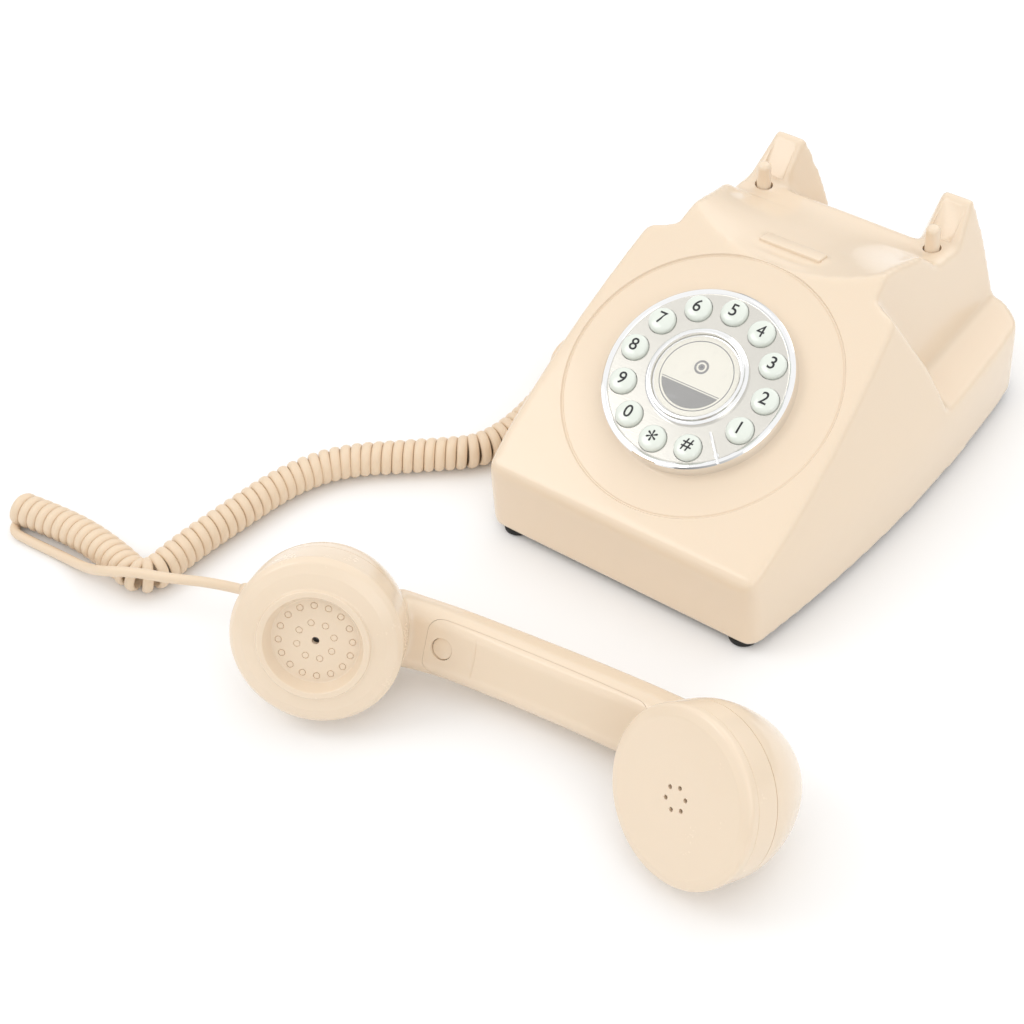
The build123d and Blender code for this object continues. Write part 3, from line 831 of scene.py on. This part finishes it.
    def figure(self, text: str, place: Matrix) -> bpy.types.Mesh:
        """A figure as a thin raised mesh on the key's dome.

        Args:
            text: the figure.
            place: the key's frame.

        Returns:
            The mesh, in metres.
        """
        curve = bpy.data.curves.new("figure", "FONT")
        curve.body = text
        curve.size = 7.6 if text != "*" else 11.0
        curve.align_x = "CENTER"
        curve.align_y = "CENTER"
        curve.extrude = 0.06
        curve.offset = 0.0 if text == "4" else 0.06
        spare = bpy.data.objects.new("figure", curve)
        bpy.context.scene.collection.objects.link(spare)
        bpy.context.view_layer.update()
        graph = bpy.context.evaluated_depsgraph_get()
        data = bpy.data.meshes.new_from_object(spare.evaluated_get(graph), depsgraph=graph)
        bpy.data.objects.remove(spare)
        bpy.data.curves.remove(curve)
        low = min(vert.co.y for vert in data.vertices)
        high = max(vert.co.y for vert in data.vertices)
        left = min(vert.co.x for vert in data.vertices)
        right = max(vert.co.x for vert in data.vertices)
        for vert in data.vertices:
            vert.co.x -= (left + right) / 2
            vert.co.y -= (low + high) / 2
            vert.co.y += 0.5
            drop = 0.011 * (vert.co.x ** 2 + vert.co.y ** 2)
            vert.co.z += 7.73 - drop
        data.transform(Matrix.Diagonal((MM, MM, MM, 1)) @ place)
        return data

    def stop(self) -> None:
        """The finger stop: a thin bright blade."""
        mesh = Shape.box((25.4, -0.55, 5.2), (40.2, 0.55, 6.4), 0.3)
        pin = Shape.spun([(0, 2), (1.1, 2), (1.1, 5.5), (0, 5.5)], 24)
        mesh = Shape.joined(mesh, Shape.placed(pin, Matrix.Translation((36, 0, 0))))
        Shape.placed(mesh, self.frame(), Matrix.Rotation(radians(self.stop_angle), 4, "Z"))
        made = Shape.object("finger_stop_blade", mesh, Finish.CHROME, 40)
        mount(made, "base", "chrome_plate", "finger_stop")


@dataclass
class Case:
    """The moulded case: one skin rounded at every edge, with its openings cut afterwards."""

    dial: Dial
    cell: float = 1.28
    rounds: int = 14
    hook_x: float = 41.0
    hook_y: float = 81.4
    hole_r: float = 3.9
    rear_y: float = 107.5
    line_x: float = 30.0
    line_z: float = 17.0
    jack_y: float = 20.0
    jack_z: float = 12.5

    def fillers(self, inset: float) -> list[bmesh.types.BMesh]:
        """Closed blocks that lie inside the case's outer skin by an inset.

        Args:
            inset: how far inside the skin they lie, in millimetres.

        Returns:
            The blocks.
        """
        plan = [(64 - inset, -90 + inset), (71 - inset, -45), (75.5 - inset, 0), (76.5 - inset, 30),
                (76.3 - inset, 60), (73.5 - inset, 90), (64 - inset, 102 - inset)]
        plan = plan + [(-x, y) for x, y in reversed(plan)]
        low = Shape.prism(plan, 4.0 if inset < 2 else 3.0, 35.0 - inset)
        spine = bmesh.new()
        side = [(-84, 20), (-86 + inset, 38.5 - inset), (28, 91 - inset), (33, 86.5 - inset),
                (60, 78.5 - inset), (70, 73.0 - inset), (82.5 - inset, 73.0 - inset),
                (102 - inset, 48 - inset), (102 - inset, 20)]
        face = spine.faces.new([spine.verts.new((-42, y, z)) for y, z in side])
        grown = bmesh.ops.extrude_face_region(spine, geom=[face])["geom"]
        bmesh.ops.translate(spine, vec=(84, 0, 0),
                            verts=[g for g in grown if isinstance(g, bmesh.types.BMVert)])
        bmesh.ops.recalc_face_normals(spine, faces=spine.faces)
        wedge = bmesh.new()
        corners = [(-62, -86), (62, -86), (67, 20), (-67, 20)]
        bottom = [wedge.verts.new((x, y, 24)) for x, y in corners]
        top = [wedge.verts.new(spot) for spot in (
            (-61 + inset, -84 + inset, 40 - inset), (61 - inset, -84 + inset, 40 - inset),
            (55 - inset, 12 - inset, 84.5 - inset), (-55 + inset, 12 - inset, 84.5 - inset))]
        wedge.faces.new(bottom[::-1])
        wedge.faces.new(top)
        for index in range(4):
            after = (index + 1) % 4
            wedge.faces.new((bottom[index], bottom[after], top[after], top[index]))
        bmesh.ops.recalc_face_normals(wedge, faces=wedge.faces)
        return [low, spine, wedge]

    def build(self) -> None:
        """Make the case's skin."""
        made = Shape.cad_copy("case_shell", "case")
        plugs = self.fillers(0.8)
        plugs.append(Shape.placed(Shape.spun([(0, -6), (58.6, -6), (58.6, 0), (0, 0)], 96),
                                  self.dial.frame()))
        for side in (1, -1):
            hole = Shape.spun([(0, 60), (4.1, 60), (4.1, 75.9), (0, 75.9)], 32)
            plugs.append(Shape.placed(hole, Matrix.Translation((side * self.hook_x, self.hook_y, 0))))
            plugs.append(Shape.placed(Shape.box((-5.1, -7.6, -2.0), (5.1, 7.6, -0.12)), self.horn(side)))
        plugs.append(Shape.box((-78.8, self.jack_y - 7, self.jack_z - 6),
                               (-60, self.jack_y + 7, self.jack_z + 6)))
        plugs.append(Shape.box((self.line_x - 8, 97, self.line_z - 7),
                               (self.line_x + 8, self.rear_y - 0.3, self.line_z + 7)))
        mesh = Shape.joined(*plugs)
        bmesh.ops.scale(mesh, vec=(MM, MM, MM), verts=mesh.verts)
        whole = bmesh.new()
        whole.from_mesh(made.data)
        spare = bpy.data.meshes.new("spare")
        mesh.to_mesh(spare)
        mesh.free()
        whole.from_mesh(spare)
        bpy.data.meshes.remove(spare)
        whole.to_mesh(made.data)
        whole.free()
        Shape.softened(made, self.cell, self.rounds)
        Shape.carve(made, [self.guide_bar()], "UNION")
        Shape.carve(made, self.cutters())
        made.data.materials.clear()
        made.data.materials.append(Finish.CREAM.material())
        Shape.shade(made, 38)
        mount(made, "base", "cream_plastic", "case_shell")

    def horn(self, side: int) -> Matrix:
        """The frame of a horn's sloping front face, on the side +1 or -1."""
        return Matrix.Translation((side * self.hook_x, 93.4, 82.1)) @ Matrix.Rotation(radians(41.8), 4, "X")

    def guide_bar(self) -> bmesh.types.BMesh:
        """The low bar on the cradle's floor that the handset's grip meets."""
        bar = Shape.box((-14.4, -3.6, -3.0), (14.4, 3.6, 3.5), 0.7, 4)
        return Shape.placed(bar, Matrix.Translation((0, 37.8, 85.6)), Matrix.Rotation(radians(-14.0), 4, "X"))

    def cutters(self) -> list[bmesh.types.BMesh]:
        """What is cut from the rounded skin: the hollow, the dial's seat and every hole.

        Returns:
            The cutters, in millimetres.
        """
        cuts = [Shape.box((-100, -120, -10), (100, 130, 4.0))]
        cuts += self.fillers(3.2)
        seat = [(0, -12), (37.2, -12), (37.2, -0.55), (57.3, -0.55), (57.6, -0.8), (57.9, -0.9), (58.2, -0.8),
                (58.45, -0.35), (58.8, 0.2), (58.8, 8), (0, 8)]
        cuts.append(Shape.placed(Shape.spun(seat, 180), self.dial.frame()))
        for side in (1, -1):
            hole = Shape.spun([(0, 60), (self.hole_r, 60), (self.hole_r, 90), (0, 90)], 48)
            cuts.append(Shape.placed(hole, Matrix.Translation((side * self.hook_x, self.hook_y, 0))))
            fade = self.horn(side) @ Matrix.Rotation(radians(6.5), 4, "X")
            cuts.append(Shape.placed(Shape.box((-5.4, -8.2, -1.0), (5.4, 9.5, 3.4), 1.0, 5), fade))
        cuts.append(Shape.box((-90, self.jack_y - 6.4, self.jack_z - 5.4),
                              (-60, self.jack_y + 6.4, self.jack_z + 5.4)))
        cuts.append(Shape.box((self.line_x - 7.4, self.rear_y - 10, self.line_z - 6.4),
                              (self.line_x + 7.4, self.rear_y + 10, self.line_z + 6.4)))
        return cuts


# ---- handset -------------------------------------------------------------------------------
@dataclass
class Handset:
    """The handset, modelled in its own frame: x from mouth to ear, z out of the caps."""

    centre: tuple[float, float, float] = (17.3, -196.3, 39.0)
    heading: float = 5.57
    roll: float = 29.16
    spacing: float = 157.0
    ear_toe: float = 18.9
    mouth_toe: float = 22.2
    seam: float = -13.0
    cup_back: tuple[Point, ...] = ((33.2, -13), (32.7, -18), (30.9, -24), (28.1, -30), (24.5, -36),
                                   (19.6, -42), (13.0, -47), (0, -50))
    sections: tuple = ((-68, 30.0, -27.0, -44.5), (-45, 28.0, -34.0, -50.5), (-15, 26.5, -34.3, -53.8),
                       (15, 26.5, -34.3, -54.6), (45, 28.0, -34.0, -52.5), (70, 30.0, -26.0, -48.0))
    panel_half: tuple[float, float] = (48.0, 11.6)
    panel_deep: float = -38.4
    plug_x: float = -42.2

    def frame(self) -> Matrix:
        """The handset's frame on the desk, in millimetres.

        Returns:
            The frame.
        """
        head, roll = radians(self.heading), radians(self.roll)
        x = Vector((cos(head), sin(head), 0))
        z = Vector((cos(roll) * sin(head), -cos(roll) * cos(head), sin(roll)))
        turn = Matrix((x, z.cross(x), z)).transposed().to_4x4()
        return Matrix.Translation(self.centre) @ turn

    def ear(self) -> Matrix:
        """The ear cap's frame, with its rim at height 0."""
        return Matrix.Translation((self.spacing / 2, 0, 0)) @ Matrix.Rotation(radians(-self.ear_toe), 4, "Y")

    def mouth(self) -> Matrix:
        """The mouth cap's frame, with its rim at height 0."""
        turn = Matrix.Rotation(radians(self.mouth_toe), 4, "Y")
        return Matrix.Translation((-self.spacing / 2, 0, 0)) @ turn

    @staticmethod
    def curved(points: Sequence[Point], steps: int = 6) -> list[Point]:
        """A smooth outline through some points.

        Args:
            points: the points, in order.
            steps: steps between two points.

        Returns:
            The outline's points.
        """
        ends = [points[0]] + list(points) + [(-points[-2][0], points[-2][1])]
        result = []
        for a, b, c, d in zip(ends, ends[1:], ends[2:], ends[3:]):
            for step in range(steps):
                t = step / steps
                spot = [0.5 * (2 * b[i] + (c[i] - a[i]) * t + (2 * a[i] - 5 * b[i] + 4 * c[i] - d[i]) * t * t
                               + (3 * b[i] - a[i] - 3 * c[i] + d[i]) * t ** 3) for i in (0, 1)]
                result.append((max(spot[0], 0.0), spot[1]))
        return result + [points[-1]]

    def grip(self) -> bmesh.types.BMesh:
        """The handle between the cups, bridged from rounded loops.

        Returns:
            The mesh, in millimetres.
        """
        mesh = bmesh.new()
        smooth = [list(self.sections[0])]
        for one, two in zip(self.sections, self.sections[1:]):
            for step in range(1, 7):
                t = step / 6
                smooth.append([a + (b - a) * t for a, b in zip(one, two)])
        for _ in range(6):
            smooth = [smooth[0]] + [[b[0]] + [(a[i] + 2 * b[i] + c[i]) / 4 for i in (1, 2, 3)]
                                    for a, b, c in zip(smooth, smooth[1:], smooth[2:])] + [smooth[-1]]
        loops = []
        for x, width, near, far in smooth:
            corner = 6.5
            ring = []
            for quarter, (sy, sz) in enumerate(((1, 1), (-1, 1), (-1, -1), (1, -1))):
                cy = sy * (width / 2 - corner)
                cz = (near - corner) if sz > 0 else (far + corner)
                for step in range(9):
                    angle = pi / 2 * (quarter + step / 8)
                    ring.append(mesh.verts.new((x, cy + corner * cos(angle), cz + corner * sin(angle))))
            loops.append([mesh.edges.new((a, b)) for a, b in zip(ring, ring[1:] + ring[:1])])
        for one, two in zip(loops, loops[1:]):
            bmesh.ops.bridge_loops(mesh, edges=one + two)
        for loop in (loops[0], loops[-1]):
            bmesh.ops.contextual_create(mesh, geom=loop)
        bmesh.ops.recalc_face_normals(mesh, faces=mesh.faces)
        return mesh

    def panel_prism(self, gap: float) -> bmesh.types.BMesh:
        """The prism that bounds the grip panel, grown by a gap.

        Args:
            gap: how far it is grown, in millimetres.

        Returns:
            The prism.
        """
        half_x, half_y = self.panel_half[0] + gap, self.panel_half[1] + gap
        corners = [(-1 - half_x, 0, 0), (-1 - half_x, half_y, 6), (-1 + half_x, half_y, 6),
                   (-1 + half_x, 0, 0)]
        upper = Shape.rounded(corners, 8)[1:-1]
        outline = upper + [(x, -y) for x, y in reversed(upper)]
        return Shape.prism(outline, self.panel_deep - gap, -25.0)

    def build(self) -> None:
        """Make every outside piece of the handset."""
        lay = self.frame()
        bowl = self.curved(self.cup_back)
        mouth = Shape.placed(Shape.spun([(0, -6), (33.2, -6)] + bowl, 96), self.mouth())
        ear = Shape.placed(Shape.spun([(0, -6), (33.2, -6)] + bowl, 96), self.ear())
        neck = Shape.box((-68, -10.5, -42), (-51.5, 10.5, -31.9), 1.2)
        skin = Shape.object("handset_body", Shape.joined(mouth, ear, self.grip(), neck))
        Shape.softened(skin, 0.9, 7)
        cuts = [Shape.placed(Shape.spun([(0, self.seam), (60, self.seam), (60, 40), (0, 40)], 64), end)
                for end in (self.mouth(), self.ear())]
        Shape.carve(skin, cuts)
        panel = skin.copy()
        panel.data = skin.data.copy()
        panel.name = panel.data.name = "grip_cover"
        bpy.context.scene.collection.objects.link(panel)
        Shape.carve(skin, [self.panel_prism(0.10)])
        Shape.carve(panel, [self.panel_prism(0.0)], "INTERSECT")
        plug = Shape.spun([(0, -40), (4.5, -40), (4.5, -30), (0, -30)], 48)
        Shape.carve(panel, [Shape.placed(plug, Matrix.Translation((self.plug_x, 0, 0)))])
        for made, node in ((skin, "handset_shell"), (panel, "grip_panel")):
            made.data.transform(Shape.in_metres(lay))
            made.data.materials.clear()
            made.data.materials.append(Finish.CREAM.material())
            Shape.shade(made, 38)
            mount(made, "handset", "cream_plastic", node)
        self.ear_cap(lay)
        self.mouth_cap(lay)
        self.plug(lay)

    def band(self) -> list[tuple[float, float, float]]:
        """The upright band of a cap, from its lower edge to under the rim's line."""
        return [(28.2, self.seam, 0), (32.85, self.seam, 0), (33.25, self.seam + 0.4, 0.2),
                (33.45, -3.1, 0.15), (33.15, -2.75, 0.1), (33.75, -2.35, 0.2)]

    def ear_cap(self, lay: Matrix) -> None:
        """The ear cap: a low dome with six small holes.

        Args:
            lay: the handset's frame on the desk.
        """
        outline = Shape.rounded(self.band() + [(33.75, 1.1, 2.3), (29.5, 2.3, 5.0), (16, 3.0, 4.0),
                                               (0, 3.2, 0)], 7)
        inside = [(0, 0.8), (26.5, -0.4), (28.6, -4), (28.2, self.seam)]
        mesh = Shape.spun(outline + inside, 128)
        made = Shape.object("ear_cap_moulding", Shape.placed(mesh, self.ear()))
        holes = []
        for index in range(6):
            angle = radians(60 * index + 20)
            hole = Shape.spun([(0, -3), (0.92, -3), (0.92, 6), (0, 6)], 24)
            spot = Matrix.Translation((4.7 * cos(angle), 4.7 * sin(angle), 0))
            holes.append(Shape.placed(hole, self.ear(), spot))
        Shape.carve(made, [Shape.joined(*holes)])
        self.finish_cap(made, lay, "ear_cap")

    def mouth_cap(self, lay: Matrix) -> None:
        """The mouth cap: a domed flange, a raised lip and a dimpled floor.

        Args:
            lay: the handset's frame on the desk.
        """
        outline = Shape.rounded(self.band() + [
            (33.75, 0.2, 1.5), (32.0, 2.3, 2.6), (28.0, 3.9, 3.0), (22.4, 4.9, 1.2), (21.9, 6.4, 0.5),
            (19.6, 6.5, 0.8), (17.2, 1.2, 0.7), (0, 1.06, 0)], 7)
        inside = [(0, -1.2), (20, -1.2), (27, -0.8), (28.6, -4), (28.2, self.seam)]
        mesh = Shape.placed(Shape.spun(outline + inside, 128), self.mouth())
        made = Shape.object("mouth_cap_moulding", mesh)
        cuts = [Shape.placed(Shape.spun([(0, -4), (1.5, -4), (1.5, 6), (0, 6)], 32), self.mouth())]
        for count, radius in ((16, 14.4), (8, 7.4)):
            for index in range(count):
                angle = tau * (index + 0.5) / count
                dimple = [(1.0, 1.9), (1.12, 0.80), (1.25, 0.72), (1.38, 0.80), (1.5, 1.9)]
                ring = Shape.spun(dimple, 20, closed=True)
                spot = Matrix.Translation((radius * cos(angle), radius * sin(angle), 0))
                cuts.append(Shape.placed(ring, self.mouth(), spot))
        Shape.carve(made, [Shape.joined(*cuts)])
        self.finish_cap(made, lay, "mouth_cap")

    def finish_cap(self, made: bpy.types.Object, lay: Matrix, node: str) -> None:
        """Lay a cap on the desk and dress it.

        Args:
            made: the piece.
            lay: the handset's frame on the desk.
            node: the CAD node's name.
        """
        made.data.transform(Shape.in_metres(lay))
        made.data.materials.clear()
        made.data.materials.append(Finish.CREAM_CAP.material())
        Shape.shade(made, 32)
        mount(made, "handset", "cream_plastic", node)

    def plug(self, lay: Matrix) -> None:
        """The round plug over the handset's screw.

        Args:
            lay: the handset's frame on the desk.
        """
        outline = Shape.rounded([(0, -36.2, 0), (4.35, -36.2, 0), (4.35, -34.15, 0.35), (0, -34.0, 0)], 4)
        mesh = Shape.placed(Shape.spun(outline, 64), lay, Matrix.Translation((self.plug_x, 0, 0)))
        made = Shape.object("screw_plug", mesh, Finish.CREAM, 30)
        mount(made, "handset", "cream_plastic", "panel_plug")


# ---- camera, light, floor ------------------------------------------------------------------
@dataclass
class Studio:
    """A pale floor, soft light from above and the camera."""

    azimuth: float = 40.8
    elevation: float = 45.7
    roll: float = -5.7
    distance: float = 0.9084
    lens: float = 77.34
    offset_right: float = -0.0950
    offset_up: float = -0.0586
    room_light: float = 1.08

    def build(self) -> None:
        """Make the floor, the lights and the camera."""
        self.floor()
        self.light("key_light", (-0.95, -0.75, 1.45), 0.8, 4.1)
        self.light("fill_light", (1.15, -0.75, 1.0), 1.0, 2.6)
        self.light("back_light", (0.1, 1.3, 1.3), 1.2, 3.3)
        self.room()
        bpy.context.scene.view_settings.view_transform = "Standard"
        self.camera()

    def room(self) -> None:
        """A white room, a little darker near the horizon, for soft light and edges in the bright metal."""
        world = bpy.data.worlds.new("soft_room")
        bpy.context.scene.world = world
        world.use_nodes = True
        tree = world.node_tree
        back = tree.nodes["Background"]
        place = tree.nodes.new("ShaderNodeTexCoord")
        split = tree.nodes.new("ShaderNodeSeparateXYZ")
        ramp = tree.nodes.new("ShaderNodeValToRGB")
        stops = ramp.color_ramp.elements
        stops[0].position, stops[0].color = 0.0, (0.22, 0.22, 0.22, 1)
        stops[1].position, stops[1].color = 0.42, (1.0, 1.0, 1.0, 1)
        middle = stops.new(0.18)
        middle.color = (0.55, 0.55, 0.55, 1)
        tree.links.new(place.outputs["Generated"], split.inputs[0])
        tree.links.new(split.outputs["Z"], ramp.inputs[0])
        tree.links.new(ramp.outputs[0], back.inputs["Color"])
        back.inputs["Strength"].default_value = self.room_light

    def floor(self) -> None:
        """A wide plain floor at the desk's height."""
        mesh = bmesh.new()
        bmesh.ops.create_grid(mesh, x_segments=1, y_segments=1, size=60000)
        made = Shape.object("floor", Shape.placed(mesh, Matrix.Translation((0, 0, -0.02))))
        graph = Graph("pale floor")
        graph.feed(graph.shader, "Base Color", (0.93, 0.93, 0.93, 1.0))
        graph.feed(graph.shader, "Roughness", 0.9)
        graph.feed(graph.shader, "Specular IOR Level", 0.1)
        made.data.materials.append(graph.material)

    def light(self, name: str, place: tuple[float, float, float], size: float, power: float) -> None:
        """A square soft light that faces the phone.

        Args:
            name: its name.
            place: its place, in metres.
            size: its side, in metres.
            power: its power, in watts.
        """
        data = bpy.data.lights.new(name, "AREA")
        data.size = size
        data.energy = power
        made = bpy.data.objects.new(name, data)
        made.location = place
        made.rotation_euler = (Vector((0, -0.05, 0.05)) - Vector(place)).to_track_quat("-Z", "Y").to_euler()
        bpy.context.scene.collection.objects.link(made)

    def camera(self) -> None:
        """The camera, level with the studio's three-quarter view."""
        az, el, roll = radians(self.azimuth), radians(self.elevation), radians(self.roll)
        back = Vector((sin(az) * cos(el), -cos(az) * cos(el), sin(el)))
        flat = Vector((cos(az), sin(az), 0))
        up = back.cross(flat)
        right = flat * cos(roll) + up * sin(roll)
        up = up * cos(roll) - flat * sin(roll)
        place = Vector((0, 0, 0.05)) + back * self.distance + right * self.offset_right + up * self.offset_up
        data = bpy.data.cameras.new("camera")
        data.lens = self.lens
        data.sensor_width = 36.0
        made = bpy.data.objects.new("camera", data)
        turn = Matrix((right, up, back)).transposed().to_4x4()
        made.matrix_world = Matrix.Translation(place) @ turn
        bpy.context.scene.collection.objects.link(made)
        bpy.context.scene.camera = made


# ---- cord ----------------------------------------------------------------------------------
@dataclass
class CurlyCord:
    """The curly cord with a straight tail at each end."""

    wire_wide: float = 4.6
    wire_thick: float = 3.3
    coil_d: float = 14.8
    pitch: float = 4.6
    tail_d: float = 4.6
    base_tail: tuple = ((-84.3, 20.0, 12.5), (-94.5, 19.5, 11.5), (-101.0, 9.0, 9.0), (-97.5, -3.5, 7.8),
                        (-88.2, -12.2, 7.5))
    coil: tuple = ((-87.6, -18.5), (-83.0, -57.0), (-113.5, -81.5), (-139.5, -101.5), (-151.0, -123.0),
                   (-156.5, -152.0), (-161.0, -178.0), (-162.0, -201.5), (-184.0, -196.5), (-211.0, -194.6),
                   (-237.5, -198.6))
    handset_tail: tuple = ((-238.0, -197.5, 2.5), (-237.5, -208.0, 2.5), (-222.0, -207.4, 2.5),
                           (-205.0, -206.4, 2.8), (-188.0, -208.4, 7.5), (-174.0, -211.0, 16.5),
                           (-160.0, -206.5, 20.4), (-145.0, -201.0, 20.4), (-127.0, -193.2, 21.4),
                           (-110.8, -192.4, 26.1))

    def line(self, route: Route) -> list[Vector]:
        """The smooth line that a route's points steer, in millimetres.

        Args:
            route: the control points, in millimetres.

        Returns:
            The line's points.
        """
        curve = bpy.data.curves.new("route", "CURVE")
        curve.dimensions = "3D"
        spline = curve.splines.new("NURBS")
        spline.points.add(len(route) - 1)
        for point, spot in zip(spline.points, route):
            point.co = (*spot, 1.0)
        spline.order_u = 3
        spline.use_endpoint_u = True
        spline.resolution_u = 24
        holder = bpy.data.objects.new("route", curve)
        bpy.context.scene.collection.objects.link(holder)
        bpy.context.view_layer.update()
        graph = bpy.context.evaluated_depsgraph_get()
        data = bpy.data.meshes.new_from_object(holder.evaluated_get(graph), depsgraph=graph)
        points = [vert.co.copy() for vert in data.vertices]
        bpy.data.objects.remove(holder)
        bpy.data.curves.remove(curve)
        bpy.data.meshes.remove(data)
        return points

    @staticmethod
    def resampled(points: Sequence[Vector], step: float) -> list[Vector]:
        """Points at even steps along a line.

        Args:
            points: the points of the line.
            step: the distance between points, in millimetres.

        Returns:
            The new points.
        """
        lengths = [0.0]
        for one, two in zip(points, points[1:]):
            lengths.append(lengths[-1] + (two - one).length)
        count = max(2, ceil(lengths[-1] / step))
        result = []
        at = 0
        for index in range(count + 1):
            want = lengths[-1] * index / count
            while at < len(lengths) - 2 and lengths[at + 1] < want:
                at += 1
            span = lengths[at + 1] - lengths[at]
            share = (want - lengths[at]) / span if span > 1e-9 else 0.0
            result.append(points[at].lerp(points[at + 1], min(max(share, 0.0), 1.0)))
        return result

    @staticmethod
    def tube(name: str, path: Sequence[Vector], across: Sequence[Vector], wide: float, thick: float,
             sides: int) -> bpy.types.Object:
        """An oval tube along a path.

        Args:
            name: the piece's name.
            path: the points that it follows, in millimetres.
            across: for each point, the direction of the oval's long side.
            wide: the oval's long size.
            thick: its short size.
            sides: number of points round the oval.

        Returns:
            The object, dressed as cord.
        """
        mesh = bmesh.new()
        rings = []
        for index, spot in enumerate(path):
            before = path[max(index - 1, 0)]
            after = path[min(index + 1, len(path) - 1)]
            along = (after - before).normalized()
            one = (across[index] - along * across[index].dot(along)).normalized()
            two = along.cross(one)
            ring = []
            for side in range(sides):
                angle = tau * side / sides
                ring.append(mesh.verts.new(spot + one * (wide / 2 * cos(angle))
                                           + two * (thick / 2 * sin(angle))))
            rings.append(ring)
        for ring, after_ring in zip(rings, rings[1:]):
            for side in range(sides):
                other = (side + 1) % sides
                mesh.faces.new((ring[side], ring[other], after_ring[other], after_ring[side]))
        mesh.faces.new(rings[0][::-1])
        mesh.faces.new(rings[-1])
        return Shape.object(name, mesh, Finish.CORD, 60)

    def build(self) -> None:
        """Make the three stretches of cord."""
        first, last = self.helix()
        start = self.tail("cord_base_end", self.base_tail[:-1] + ((first.x, first.y, first.z),))
        end = self.tail("cord_handset_end", ((last.x, last.y, last.z),) + self.handset_tail[1:])
        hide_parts("cord_tail_base")
        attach(start, "base")
        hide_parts("cord_tail_handset")
        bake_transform(end)

    def tail(self, name: str, route: Route) -> bpy.types.Object:
        """One straight tail of cord.

        Args:
            name: its name.
            route: the control points, in millimetres.

        Returns:
            The piece.
        """
        path = self.resampled(self.line(route), 1.2)
        up = Vector((0, 0, 1))
        made = self.tube(name, path, [up] * len(path), self.tail_d * 0.93, self.tail_d * 0.93, 16)
        length = sum((two - one).length for one, two in zip(path, path[1:]))
        [v * MM for v in path[0]]
        [tuple(p * MM) for p in path]
        LOG.info("%s: %.0f mm", name, length)
        return made

    def helix(self) -> tuple[Vector, Vector]:
        """The coil: a helix round the coil's line.

        Returns:
            The helix's first and last points.
        """
        line = self.resampled(self.line([(x, y, self.coil_d / 2 + 0.1) for x, y in self.coil]), 0.35)
        length = sum((two - one).length for one, two in zip(line, line[1:]))
        turns = round(length / self.pitch)
        radius = (self.coil_d - self.wire_thick) / 2
        per_turn = 26
        count = turns * per_turn
        path, across = [], []
        for index in range(count + 1):
            share = index / count
            at = share * (len(line) - 1)
            low = min(int(at), len(line) - 2)
            spot = line[low].lerp(line[low + 1], at - low)
            ahead = line[min(low + 8, len(line) - 1)]
            behind = line[max(low - 7, 0)]
            along = (ahead - behind).normalized()
            side = along.cross(Vector((0, 0, 1))).normalized()
            up = side.cross(along)
            angle = tau * (index / per_turn) - pi / 2
            path.append(spot + side * (radius * cos(angle)) + up * (radius * sin(angle)))
            across.append(along)
        made = self.tube("cord_curls", path, across, self.wire_wide, self.wire_thick, 10)
        real = sum((two - one).length for one, two in zip(path, path[1:]))
        [v * MM for v in path[0]]
        [tuple(p * MM) for p in path]
        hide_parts("cord_coil")
        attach(made, "base")
        LOG.info("coil: %d turns, %.0f mm of wire on %.0f mm", turns, real, length)
        return path[0], path[-1]


def refine_plain_nodes() -> None:
    """Merged, smoothly shaded copies of the plain CAD nodes that are seen."""
    for node, body, finish, slot in (
            ("hook_pins", "hook", Finish.CREAM, "cream_plastic"),
            ("cord_boot", "handset", Finish.CORD, "cord_vinyl"),
            ("foot_front_left", "base", Finish.RUBBER, "black_rubber"),
            ("foot_front_right", "base", Finish.RUBBER, "black_rubber"),
            ("foot_rear_left", "base", Finish.RUBBER, "black_rubber"),
            ("foot_rear_right", "base", Finish.RUBBER, "black_rubber")):
        made = Shape.cad_copy(node, node + "_moulded")
        made.data.materials.clear()
        made.data.materials.append(finish.material())
        mount(made, body, slot, node)


def return_springs() -> None:
    """The hook pins' return springs."""
    made = Shape.cad_copy("hook_springs", "hook_spring_coils")
    made.data.materials.clear()
    made.data.materials.append(Finish.SPRING.material())
    mount(made, "base", "spring_steel", "hook_springs")
    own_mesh(made)


def dress_hidden_nodes() -> None:
    """Give the CAD nodes that stay as they are their finishes."""
    plain = {
        Finish.BLACK: ("black_plastic", ("base_plate", "hook_bracket", "handset_jack", "line_jack",
                                        "hook_switch")),
        Finish.SILICONE: ("grey_silicone", ("key_mat",)),
        Finish.BOARD: ("circuit_board", ("key_board", "main_board")),
        Finish.ZINC: ("zinc_screw", ("base_screws", "dial_screws", "panel_screw")),
        Finish.IRON: ("iron_weight", ("ballast_weight", "handset_weight")),
        Finish.CAN: ("metal_can", ("sounder", "receiver_capsule", "microphone_capsule")),
        Finish.RUBBER: ("black_rubber", ("ear_gasket", "mouth_gasket")),
        Finish.CLEAR: ("clear_plastic", ("cord_plug",)),
    }
    for finish, (slot, nodes) in plain.items():
        for node in nodes:
            dress(node, finish)


def main() -> None:
    """Build the phone, sub-assembly by sub-assembly."""
    logging.basicConfig(level=logging.INFO, format="%(name)s %(message)s")
    dial = Dial()
    Case(dial).build()
    dial.build()
    Handset().build()
    CurlyCord().build()
    refine_plain_nodes()
    return_springs()
    dress_hidden_nodes()
    Studio().build()


if __name__ == "__main__":
    main()
